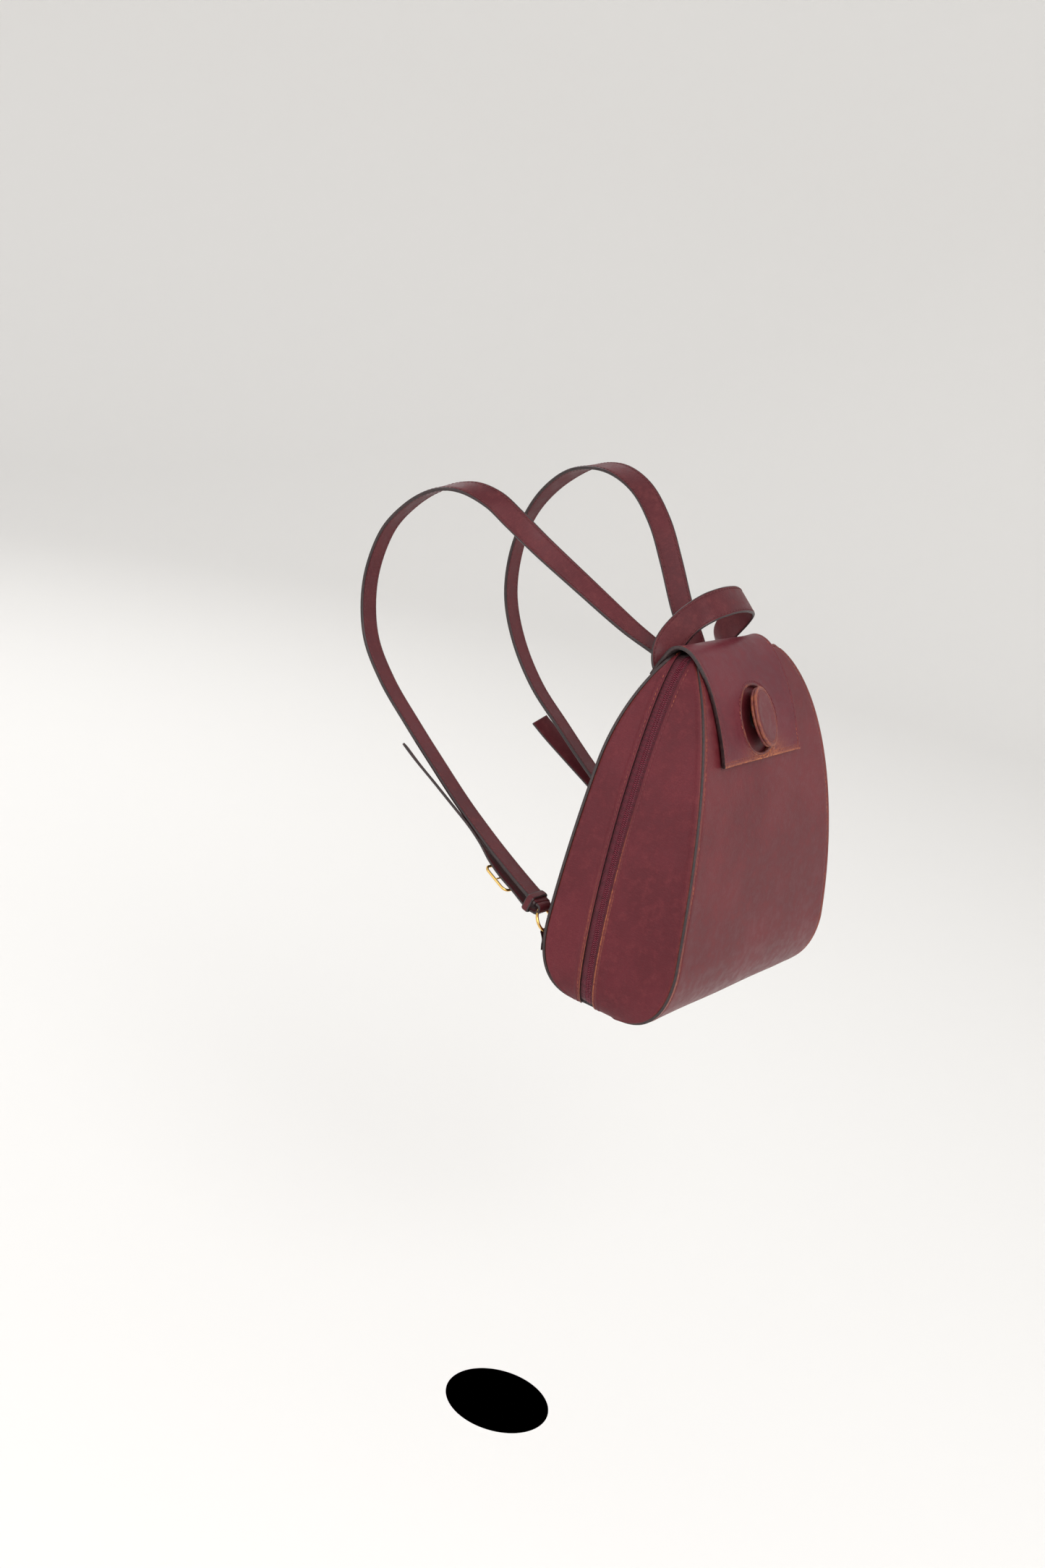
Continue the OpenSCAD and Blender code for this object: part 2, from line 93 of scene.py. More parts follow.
# Hardware at the straps' lower ends, on the left side: [x, y, h]
TURN_AT, TURN_R = (-117.5, 15.8, 62.2), 3.8
KEEPER_AT, KEEPER_TIP = (-116.6, 23.5, 64.2), 14.0
RING_AT, RING_TIP, RING_R, RING_WIRE = (-118.5, 9, 53.5), 55.0, 9.8, 1.3
BUCKLE_AT, BUCKLE_TIP, BUCKLE_TURN, BUCKLE_DROP = (-112, 59, 73), 23.5, -5.9, 2.9


# ---- Curves ----------------------------------------------------------------

def cubic(points, n):
    """n + 1 points of a cubic Bezier curve."""
    p = np.array(points, float)
    t = np.linspace(0, 1, n + 1)[:, None]
    return ((1 - t) ** 3 * p[0] + 3 * t * (1 - t) ** 2 * p[1]
            + 3 * t * t * (1 - t) * p[2] + t ** 3 * p[3])


def through(points, n):
    """Catmull-Rom line through points, n stretches between two of them."""
    p = np.array(points, float)
    last = len(p) - 1
    out = []
    for i in range(last):
        a, b, c, d = p[max(i - 1, 0)], p[i], p[i + 1], p[min(i + 2, last)]
        for j in range(n):
            t = j / n
            out.append(0.5 * (2 * b + (c - a) * t + (2 * a - 5 * b + 4 * c - d) * t * t
                              + (3 * b - a - 3 * c + d) * t ** 3))
    return np.array(out + [p[last]])


def joined(*runs):
    """Runs of points in one line, without the doubled ends."""
    out = [runs[0]]
    for run in runs[1:]:
        out.append(run[1:] if np.linalg.norm(out[-1][-1] - run[0]) < 1e-6 else run)
    return np.concatenate(out)


def unit(v):
    v = np.asarray(v, float)
    return v / np.maximum(np.linalg.norm(v, axis=-1, keepdims=True), 1e-12)


def arc(points):
    """Distance along a line at each of its points."""
    steps = np.linalg.norm(np.diff(points, axis=0), axis=1)
    return np.concatenate([[0], np.cumsum(steps)])


def at_arc(points, where, values=None):
    """What values says, or the line's own points, at the given distances along a line."""
    along = arc(points)
    values = points if values is None else values
    return np.stack([np.interp(where, along, column) for column in values.T], 1)


def evenly(points, step):
    """The line again, with points about step apart."""
    n = max(2, int(round(arc(points)[-1] / step)))
    return at_arc(points, np.linspace(0, arc(points)[-1], n + 1))


def tangents(points):
    return unit(np.gradient(np.asarray(points, float), axis=0))


def bump(x, middle, width):
    """Smooth bump of height 1."""
    return np.exp(-((np.asarray(x) - middle) / width) ** 2)


def smooth(x, low, high):
    t = np.clip((np.asarray(x, float) - low) / (high - low), 0, 1)
    return t * t * (3 - 2 * t)


def ripple(a, b, seed):
    """Slow uneven swell over two coordinates in mm, about -1 to 1."""
    rng = np.random.default_rng(seed)
    total = 0
    for _ in range(6):
        ka, kb = rng.uniform(-0.06, 0.06, 2)
        total = total + np.sin(ka * a + kb * b + rng.uniform(0, 2 * math.pi))
    return total / 4


SIDE = joined(cubic([[116, 0], [127, 0], [131.4, 20], [131.4, 50]], 40),
              cubic([[131.4, 50], [131.4, 132], [100, 295], [67.4, 295]], 120))
FRONT_CURVE = [[-127, 62], [-116, 168], [-87, 265], [-44, 295]]
FRONT_LOW = [[-66, 0], [-108, 0], [-128, 21], [-127, 62]]
BACK_LOW = [[-44, 0], [-14, 0], [0, 21], [0, 62]]
BACK_CURVE = [[0, 195], [0, 229], [-8, 262], [-24, 295]]
FRONT_LINE = joined(cubic(FRONT_LOW, 60), cubic(FRONT_CURVE, 120))
BACK_LINE = joined(cubic(BACK_LOW, 60), np.array([[0, 62], [0, 195.0]]), cubic(BACK_CURVE, 60))


def half_width(h):
    return np.interp(h, SIDE[:, 1], SIDE[:, 0])


def front_at(h):
    return np.interp(h, FRONT_LINE[:, 1], FRONT_LINE[:, 0])


def back_at(h):
    return np.interp(h, BACK_LINE[:, 1], BACK_LINE[:, 0])


def zip_at(h):
    h = np.asarray(h, float)
    return -52 + 17.3 * h / CASE_H + 1.4 * np.sin(np.pi * h / CASE_H)


def outward(line, sign):
    """Normals of a line [y, h] or [x, h], to its right (sign 1) or left (sign -1)."""
    t = tangents(line)
    return sign * np.stack([t[:, 1], -t[:, 0]], 1)


# ---- Meshes ----------------------------------------------------------------

def add_mesh(name, points, faces, materials, face_material=None, uv=None, wear_and_highlight=None):
    """A mesh object from points in mm; uv is in mm too, wear is 0 to 1 at each point."""
    p = np.asarray(points, float).reshape(-1, 3)
    metres = (p - [0, 0, MOUNT_H]) * MM
    mesh = bpy.data.meshes.new(name)
    mesh.from_pydata(metres.tolist(), [], faces)
    for m in materials:
        mesh.materials.append(m)
    if face_material is not None:
        mesh.polygons.foreach_set("material_index", np.asarray(face_material, np.int32))
    rest = mesh.attributes.new("rest", "FLOAT_VECTOR", "POINT")
    rest.data.foreach_set("vector", metres.astype(np.float32).ravel())
    # per-point amount of worn tan: real wear, and on the front panel's bottom roll a painted highlight
    worn = mesh.attributes.new("wear_and_highlight", "FLOAT", "POINT")
    if wear_and_highlight is not None:
        worn.data.foreach_set("value", np.asarray(wear_and_highlight, np.float32).ravel())
    if uv is not None:
        layer = mesh.uv_layers.new(name="metres")
        index = np.zeros(len(mesh.loops), np.int32)
        mesh.loops.foreach_get("vertex_index", index)
        layer.data.foreach_set("uv", (np.asarray(uv, float).reshape(-1, 2)[index] * MM).ravel())
    mesh.polygons.foreach_set("use_smooth", np.ones(len(mesh.polygons), bool))
    mesh.update()
    obj = bpy.data.objects.new(name, mesh)
    bpy.context.scene.collection.objects.link(obj)
    return obj


def grid_faces(rows, cols, around=False, flip=False):
    """Quads of a grid; around closes it in the direction of its columns."""
    faces = []
    for i in range(rows - 1):
        for j in range(cols if around else cols - 1):
            k = (j + 1) % cols
            quad = [i * cols + j, i * cols + k, (i + 1) * cols + k, (i + 1) * cols + j]
            faces.append(quad[::-1] if flip else quad)
    return faces


def grid_uv(points):
    """Distances along both directions of a grid of points."""
    p = np.asarray(points, float)
    across = np.concatenate([np.zeros((len(p), 1)),
                             np.cumsum(np.linalg.norm(np.diff(p, axis=1), axis=2), 1)], 1)
    middle = p[:, p.shape[1] // 2]
    along = np.repeat(arc(middle)[:, None], p.shape[1], 1)
    return np.stack([across - across.mean(1, keepdims=True), along], 2)


def sheet_of(name, points, materials, thickness, face, wear_and_highlight=None, edge=0.7):
    """Leather sheet: a grid of points on its outer face, thickened inwards, with round edges.
    materials are those of the outer face, the cut edge and the inner face, and face is the
    direction that the outer face looks in at the middle of the grid."""
    rows, cols = points.shape[:2]
    i, j = rows // 2, cols // 2
    looks = np.cross(points[i, j + 1] - points[i, j], points[i + 1, j] - points[i, j])
    flip = float(looks @ np.array(face, float)) < 0
    obj = add_mesh(name, points, grid_faces(rows, cols, flip=flip), materials,
                   uv=grid_uv(points), wear_and_highlight=wear_and_highlight)
    thicken(obj, thickness, edge)
    return obj


def thicken(obj, thickness, edge):
    solid = obj.modifiers.new("thickness", "SOLIDIFY")
    solid.thickness = thickness * MM
    solid.offset = -1
    solid.use_even_offset = True
    solid.material_offset_rim = 1
    solid.material_offset = 2
    if edge:
        bevel = obj.modifiers.new("edge", "BEVEL")
        bevel.width = edge * MM
        bevel.segments = 3
        bevel.limit_method = "ANGLE"
        bevel.angle_limit = math.radians(50)


def frames_of(line, across):
    """Directions along, across and square to a band, as the CAD's bands have them."""
    p = np.asarray(line, float)
    ahead, behind = np.roll(p, -1, 0), np.roll(p, 1, 0)
    ahead[-1], behind[0] = p[-1], p[0]
    along = unit(ahead - behind)
    a = np.asarray(across, float)
    flat = unit(a - (a * along).sum(1, keepdims=True) * along)
    return along, flat, np.cross(along, flat)


def sweep(name, line, across, section, materials, kinds, closed=False):
    """Band with a closed cross-section [[across, up], ...] swept along a line. kinds gives
    the material of each side of the section."""
    _, flat, up = frames_of(line, across)
    s = np.array(section, float)
    p = np.asarray(line, float)
    ring = p[:, None] + s[None, :, 0, None] * flat[:, None] + s[None, :, 1, None] * up[:, None]
    rows, cols = ring.shape[:2]
    faces = grid_faces(rows, cols, around=True)
    material = [kinds[j] for _ in range(rows - 1) for j in range(cols)]
    if closed:
        last = (rows - 1) * cols
        faces += [[last + j, last + (j + 1) % cols, (j + 1) % cols, j] for j in range(cols)]
        material += kinds
    else:
        edge = min(1, len(materials) - 1)
        faces += [list(range(cols))[::-1], [(rows - 1) * cols + j for j in range(cols)]]
        material += [edge, edge]
    around = np.concatenate([[0], np.cumsum(np.linalg.norm(np.diff(s, axis=0), axis=1))])
    uv = np.stack([np.tile(around, (rows, 1)), np.repeat(arc(p)[:, None], cols, 1)], 2)
    return add_mesh(name, ring, faces, materials, material, uv)


def tube(name, line, across, r, material, closed=False, n=12):
    """Round wire along a line."""
    turns = [2 * math.pi * i / n for i in range(n)]
    section = [[r * math.cos(a), r * math.sin(a)] for a in turns]
    return sweep(name, line, across, section, [material], [0] * n, closed=closed)


def rounded_loop(half_x, half_y, r, n):
    """Corners of a rounded rectangle, each an arc of n points: [[x, y], ...]."""
    return np.array([
        [cx * (half_x - r) + r * math.cos(a), cy * (half_y - r) + r * math.sin(a)]
        for cx, cy, start in ((1, 1, 0), (-1, 1, 90), (-1, -1, 180), (1, -1, 270))
        for a in np.radians(start + np.linspace(0, 90, n))])


def band_section(w, t, crown=0.3, seam=2.4, groove=0.35, sides=(1, -1)):
    """Cross-section of a stitched band of width w and thickness t: a crowned outer face
    with a sunk seam near each edge, round painted edges and a flat inner face."""
    face = []
    middle = np.linspace(-w / 2 + 1.5, w / 2 - 1.5, 25)
    for a in np.concatenate([[-w / 2 + 1], middle, [w / 2 - 1]]):
        inset = w / 2 - abs(a)
        b = t / 2 + crown * (1 - (2 * a / w) ** 2) - groove * bump(inset, seam, 0.6)
        face.append([a, b])
    edge = [[w / 2 - 0.35, t / 2 - 0.25], [w / 2, t / 2 - 0.9], [w / 2, -t / 2 + 0.9],
            [w / 2 - 0.35, -t / 2 + 0.25]]
    inner = [[a, -t / 2] for a in np.linspace(w / 2 - 1, -w / 2 + 1, 9)]
    other = [[-a, b] for a, b in edge[::-1]]
    section = face + edge + inner + other
    kinds = ([0] * (len(face) - 1) + [1] * (len(edge) + 1) + [2] * (len(inner) - 1)
             + [1] * (len(other) + 1))
    if sides[0] < 0:
        section = [[-a, -b] for a, b in section]
    return section, kinds


def capsules(centres, along, up, length, r):
    """Points and faces of small rounded bars: stitches and zip teeth."""
    side = np.cross(up, along)
    stations = [(-0.5, 0.25), (-0.38, 0.85), (0, 1.0), (0.38, 0.85), (0.5, 0.25)]
    sides = 6
    points, faces = [], []
    for k, (c, a, u, s) in enumerate(zip(centres, along, up, side)):
        base = k * len(stations) * sides
        for where, size in stations:
            for i in range(sides):
                turn = 2 * math.pi * i / sides
                points.append(c + a * where * length
                              + r * size * (math.cos(turn) * s + math.sin(turn) * u))
        for row in range(len(stations) - 1):
            for i in range(sides):
                j = (i + 1) % sides
                faces.append([base + row * sides + i, base + row * sides + j,
                              base + (row + 1) * sides + j, base + (row + 1) * sides + i])
        faces.append([base + i for i in range(sides)][::-1])
        faces.append([base + (len(stations) - 1) * sides + i for i in range(sides)])
    return points, faces


class Stitching:
    """Gathers rows of stitches and makes them one piece."""

    def __init__(self):
        self.points, self.faces = [], []

    def row(self, line, normals, pitch=3.9, length=2.9, r=0.42, sink=0.1, slant=0.12):
        line = np.asarray(line, float)
        total = arc(line)[-1]
        n = max(1, int(total / pitch))
        where = (np.arange(n) + 0.5) * total / n
        centres = at_arc(line, where)
        up = unit(at_arc(line, where, np.asarray(normals, float)))
        along = unit(at_arc(line, where + 0.5) - at_arc(line, where - 0.5))
        along = unit(along + slant * np.cross(up, along))
        p, f = capsules(centres - up * sink, along, up, length, r)
        base = len(self.points)
        self.points += p
        self.faces += [[base + i for i in face] for face in f]

    def make(self, name, body, material):
        rng = np.random.default_rng(len(self.points))
        per = 30
        wear_and_highlight = np.repeat(rng.uniform(0, 1, len(self.points) // per), per)
        obj = add_mesh(name, self.points, self.faces, [material], wear_and_highlight=wear_and_highlight)
        if body:
            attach(obj, body)
        return obj


def placed(points, place):
    """Points moved by a 4x4 matrix in mm."""
    return np.asarray(points, float) @ place[:3, :3].T + place[:3, 3]


def lathe(name, profile, place, materials, kinds, n=96, wear_and_highlight=None):
    """Turned piece: profile [[r, z], ...] about local z, put in place by a 4x4 matrix."""
    turns = [2 * math.pi * i / n for i in range(n)]
    pts = np.array([[r * math.cos(a), r * math.sin(a), z] for r, z in profile for a in turns])
    rows = len(profile)
    faces = grid_faces(rows, n, around=True)
    material = [k for k in kinds for _ in range(n)]
    faces += [list(range(n))[::-1], [(rows - 1) * n + i for i in range(n)]]
    material += [kinds[0], kinds[-1]]
    w = None if wear_and_highlight is None else np.repeat(wear_and_highlight, n)
    return add_mesh(name, placed(pts, place), faces, materials, material, uv=pts[:, :2], wear_and_highlight=w)


def turn_about(axis, degrees):
    return np.array(Matrix.Rotation(math.radians(degrees), 4, axis))


def shift(x, y, z):
    return np.array(Matrix.Translation((x, y, z)))


def mirrored(points, side):
    """Points drawn for the left side, put on the given side."""
    p = np.array(points, float)
    if side > 0:
        p[..., 0] *= -1
    return p


# ---- Materials -------------------------------------------------------------

def new_material(name, color, roughness, metallic=0.0):
    m = bpy.data.materials.new(name)
    m.use_nodes = True
    nodes = m.node_tree.nodes
    shader = nodes["Principled BSDF"]
    shader.inputs["Base Color"].default_value = (*color, 1)
    shader.inputs["Roughness"].default_value = roughness
    shader.inputs["Metallic"].default_value = metallic
    return m, nodes, m.node_tree.links, shader


def rest_vector(nodes):
    node = nodes.new("ShaderNodeAttribute")
    node.attribute_name = "rest"
    return node.outputs["Vector"]


def noise(nodes, links, vector, scale, detail=3.0, rough=0.5):
    node = nodes.new("ShaderNodeTexNoise")
    node.inputs["Scale"].default_value = scale
    node.inputs["Detail"].default_value = detail
    node.inputs["Roughness"].default_value = rough
    links.new(vector, node.inputs["Vector"])
    return node.outputs["Fac"]


def ramp(nodes, links, value, low, high, a=0.0, b=1.0):
    node = nodes.new("ShaderNodeMapRange")
    node.interpolation_type = "SMOOTHSTEP"
    for key, v in (("From Min", low), ("From Max", high), ("To Min", a), ("To Max", b)):
        node.inputs[key].default_value = v
    links.new(value, node.inputs["Value"])
    return node.outputs["Result"]


def mix_color(nodes, links, factor, a, b):
    node = nodes.new("ShaderNodeMix")
    node.data_type = "RGBA"
    links.new(factor, node.inputs["Factor"])
    for socket, value in ((node.inputs[6], a), (node.inputs[7], b)):
        if isinstance(value, tuple):
            socket.default_value = (*value, 1)
        else:
            links.new(value, socket)
    return node.outputs[2]


def maths(nodes, links, operation, a, b):
    node = nodes.new("ShaderNodeMath")
    node.operation = operation
    for socket, value in zip(node.inputs, (a, b)):
        if isinstance(value, (int, float)):
            socket.default_value = value
        else:
            links.new(value, socket)
    return node.outputs[0]


def add_bump(nodes, links, shader, heights):
    """Bumps one on another: [(height, strength, distance in mm), ...]."""
    normal = None
    for height, strength, distance in heights:
        node = nodes.new("ShaderNodeBump")
        node.inputs["Strength"].default_value = strength
        node.inputs["Distance"].default_value = distance * MM
        links.new(height, node.inputs["Height"])
        if normal is not None:
            links.new(normal, node.inputs["Normal"])
        normal = node.outputs["Normal"]
    links.new(normal, shader.inputs["Normal"])


def leather(name, base, dark, light, roughness=0.42, pebble=750.0, grain=0.35,
            lines=0.0, worn=(0.50, 0.17, 0.06)):
    """Grained leather: uneven colour, pebbled grain, fine lines across it and worn edges."""
    m, nodes, links, shader = new_material(name, base, roughness)
    rest = rest_vector(nodes)
    cloud = noise(nodes, links, rest, 14, 3, 0.55)
    mottle = noise(nodes, links, rest, 120, 4, 0.6)
    color = mix_color(nodes, links, ramp(nodes, links, cloud, 0.35, 0.68), dark, base)
    color = mix_color(nodes, links, ramp(nodes, links, mottle, 0.45, 0.75, 0, 0.55), color, light)
    cells = nodes.new("ShaderNodeTexVoronoi")
    cells.feature = "F1"
    cells.inputs["Scale"].default_value = pebble
    links.new(rest, cells.inputs["Vector"])
    pit = ramp(nodes, links, cells.outputs["Distance"], 0.2, 0.75)
    color = mix_color(nodes, links, maths(nodes, links, "MULTIPLY", pit, 0.35), color, dark)
    heights = [(mottle, 0.25, 0.35), (maths(nodes, links, "SUBTRACT", 1.0, pit), grain, 0.12)]
    if lines:
        uv = nodes.new("ShaderNodeUVMap")
        uv.uv_map = "metres"
        stretch = nodes.new("ShaderNodeMapping")
        stretch.inputs["Scale"].default_value = (160, 1500, 1)
        links.new(uv.outputs["UV"], stretch.inputs["Vector"])
        fine = noise(nodes, links, stretch.outputs["Vector"], 1.0, 3, 0.6)
        heights.append((fine, lines, 0.2))
        color = mix_color(nodes, links, ramp(nodes, links, fine, 0.5, 0.8, 0, 0.5), color, light)
    # worn tan from the per-point attribute: real wear at edges and seams, and a painted highlight along
    # the front panel's bottom roll
    attribute = nodes.new("ShaderNodeAttribute")
    attribute.attribute_name = "wear_and_highlight"
    broken = ramp(nodes, links, noise(nodes, links, rest, 420, 4, 0.7), 0.3, 0.6)
    wear_and_highlight = maths(nodes, links, "MULTIPLY", attribute.outputs["Fac"], broken)
    color = mix_color(nodes, links, wear_and_highlight, color, worn)
    links.new(color, shader.inputs["Base Color"])
    rough = ramp(nodes, links, mottle, 0.3, 0.7, roughness - 0.06, roughness + 0.1)
    links.new(rough, shader.inputs["Roughness"])
    shader.inputs["Specular IOR Level"].default_value = 0.22
    shader.inputs["Coat Weight"].default_value = 0.04
    shader.inputs["Coat Roughness"].default_value = 0.25
    add_bump(nodes, links, shader, heights)
    return m


def plain(name, base, other, roughness, scale, strength, distance=0.2, metallic=0.0):
    """Material with uneven colour and a noisy surface."""
    m, nodes, links, shader = new_material(name, base, roughness, metallic)
    rest = rest_vector(nodes)
    spots = noise(nodes, links, rest, scale, 4, 0.6)
    links.new(mix_color(nodes, links, ramp(nodes, links, spots, 0.35, 0.7), base, other),
              shader.inputs["Base Color"])
    rough = ramp(nodes, links, spots, 0.3, 0.7, roughness * 0.85, min(1, roughness * 1.2))
    links.new(rough, shader.inputs["Roughness"])
    add_bump(nodes, links, shader, [(spots, strength, distance)])
    return m


def woven(name, base, other, roughness=0.85, thread=1700.0):
    """Cloth with two crossing sets of threads."""
    m, nodes, links, shader = new_material(name, base, roughness)
    rest = rest_vector(nodes)
    waves = []
    for direction in ("X", "Y", "Z"):
        wave = nodes.new("ShaderNodeTexWave")
        wave.bands_direction = direction
        wave.inputs["Scale"].default_value = thread / 6.3
        wave.inputs["Distortion"].default_value = 0.4
        links.new(rest, wave.inputs["Vector"])
        waves.append(wave.outputs["Fac"])
    both = maths(nodes, links, "MULTIPLY", maths(nodes, links, "ADD", waves[0], waves[1]), waves[2])
    links.new(mix_color(nodes, links, both, other, base), shader.inputs["Base Color"])
    shader.inputs["Sheen Weight"].default_value = 0.2
    add_bump(nodes, links, shader, [(both, 0.6, 0.2)])
    return m


def thread_material(name, base, worn):
    m, nodes, links, shader = new_material(name, base, 0.6)
    attribute = nodes.new("ShaderNodeAttribute")
    attribute.attribute_name = "wear_and_highlight"
    rest = rest_vector(nodes)
    patch = ramp(nodes, links, noise(nodes, links, rest, 22, 2, 0.5), 0.42, 0.62)
    amount = maths(nodes, links, "MULTIPLY", attribute.outputs["Fac"], patch)
    links.new(mix_color(nodes, links, amount, base, worn), shader.inputs["Base Color"])
    twist = noise(nodes, links, rest, 1900, 2, 0.5)
    add_bump(nodes, links, shader, [(twist, 0.5, 0.15)])
    return m


PANEL = leather("panel_leather", (0.136, 0.018, 0.024), (0.102, 0.013, 0.018),
                (0.178, 0.034, 0.038), 0.42, 820, 0.22)
GUSSET = leather("gusset_leather", (0.118, 0.013, 0.021), (0.086, 0.008, 0.014),
                 (0.155, 0.026, 0.032), 0.45, 760, 0.3, lines=0.6)
FLAP = leather("flap_leather", (0.130, 0.018, 0.027), (0.098, 0.013, 0.021),
               (0.170, 0.032, 0.040), 0.44, 800, 0.25)
BUTTON = leather("button_leather", (0.130, 0.013, 0.020), (0.098, 0.009, 0.015),
                 (0.170, 0.030, 0.032), 0.42, 800, 0.3, worn=(0.42, 0.13, 0.05))
STRAP = leather("strap_leather", (0.105, 0.017, 0.022), (0.072, 0.011, 0.015),
                (0.150, 0.034, 0.036), 0.47, 700, 0.35, lines=0.25)
EDGE = plain("edge_paint", (0.016, 0.008, 0.009), (0.035, 0.014, 0.014), 0.35, 300, 0.2)
INNER = plain("inner_suede", (0.022, 0.012, 0.012), (0.036, 0.018, 0.017), 0.8, 500, 0.4)
LINING = woven("lining_cloth", (0.05, 0.025, 0.02), (0.025, 0.012, 0.01))
BOARD = plain("grey_board", (0.16, 0.11, 0.07), (0.10, 0.07, 0.05), 0.9, 260, 0.3)
TAPE = woven("zip_tape", (0.120, 0.005, 0.018), (0.050, 0.002, 0.008))
TEETH = plain("zip_teeth", (0.155, 0.008, 0.026), (0.085, 0.004, 0.014), 0.35, 900, 0.2)
GOLD = plain("gold_metal", (0.80, 0.52, 0.17), (0.72, 0.44, 0.13), 0.2, 160, 0.05, 0.1, 1.0)
THREAD = thread_material("red_thread", (0.120, 0.012, 0.018), (0.36, 0.09, 0.035))
STRAP_THREAD = thread_material("dark_thread", (0.090, 0.010, 0.014), (0.120, 0.022, 0.022))
WORN = plain("worn_edge", (0.120, 0.016, 0.020), (0.30, 0.085, 0.038), 0.55, 150, 0.4)
RIM = plain("hole_edge", (0.080, 0.010, 0.014), (0.20, 0.045, 0.024), 0.55, 110, 0.4)


# ---- Case ------------------------------------------------------------------

def across_columns(half, edge):
    """Sideways places over a panel's width, close together near both edges."""
    side = half - np.array(edge)
    middle = np.linspace(-side[-1], side[-1], 26)[1:-1]
    return np.concatenate([-side, middle, side[::-1]])


EDGE_STEPS = [0, 0.8, 1.8, 2.8, 3.3, 3.8, 4.3, 4.9, 6, 8.5, 13]


def panel(name, line, seed, wear_and_highlight_at):
    """Sheet wrapped over the case along line [y, h], as wide as the case is there."""
    line = evenly(line, 3.0)
    normal = outward(line, 1)
    points, wear_and_highlight = [], []
    for (y, h), (ny, nh), s in zip(line, normal, arc(line)):
        half = half_width(h) + PANEL_PROUD
        x = across_columns(half, EDGE_STEPS)
        inset = half - np.abs(x)
        out = (0.45 * ripple(x, s, seed) * smooth(inset, 6, 40)
               - 0.4 * bump(inset, PANEL_SEAM, 0.7) + 0.25 * bump(inset, 7.5, 3))
        points.append(np.stack([x, y + ny * out, h + nh * out], 1))
        wear_and_highlight.append(wear_and_highlight_at(inset, h))
    middle = len(line) // 2
    face = (0, normal[middle][0], normal[middle][1])
    return sheet_of(name, np.array(points), [PANEL, EDGE, INNER], PANEL_T, face,
                    np.array(wear_and_highlight), edge=0.6), line, normal


def front_wear_and_highlight(inset, h):
    """Worn seams, more so near the bottom, and a painted highlight: a lighter tan band along the roll at
    the bottom's front.
    """
    near = 0.35 * bump(inset, 2.0, 0.8) + 0.1 * bump(inset, PANEL_SEAM, 0.8)
    # painted highlight: a lighter tan band along the bottom roll, where the front panel turns under
    roll = 0.1 * bump(h, 9, 9) * smooth(inset, 0, 6)
    return near * (0.5 + 0.9 * smooth(110 - h, 0, 60)) + roll


front_path = joined(cubic(FRONT_CURVE, 120)[::-1], cubic(FRONT_LOW, 60)[::-1],
                    np.array([[-66, 0], [-44, 0.0]]), cubic(BACK_LOW, 60))
front, front_line, front_normal = panel("front_and_base", front_path, 3, front_wear_and_highlight)
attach(front, "case")
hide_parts("front_panel", "base_panel")

back_path = joined(np.array([[0, 62.3], [0, 195.0]]), cubic(BACK_CURVE, 60))
back, back_line, back_normal = panel("back", back_path, 8,
                                     lambda inset, h: 0.1 * bump(inset, 2.5, 1.0))
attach(back, "case")
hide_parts("back_panel")

case_stitches = Stitching()


def panel_stitches(line, normal):
    """Rows along both edges of a panel, up to just under the ridge."""
    for side in (-1, 1):
        p, n = [], []
        for (y, h), (ny, nh) in zip(line, normal):
            if h < CASE_H - 3:
                x = side * (half_width(h) + PANEL_PROUD - PANEL_SEAM)
                p.append([x, y - ny * 0.3, h - nh * 0.3])
                n.append([0, ny, nh])
        case_stitches.row(p, n)


panel_stitches(front_line, front_normal)
panel_stitches(back_line, back_normal)

side_line = evenly(joined(SIDE[SIDE[:, 1] > 1.2], np.array([[67.4, 295], [0, 295.0]])), 3.0)
side_out = outward(side_line, 1)


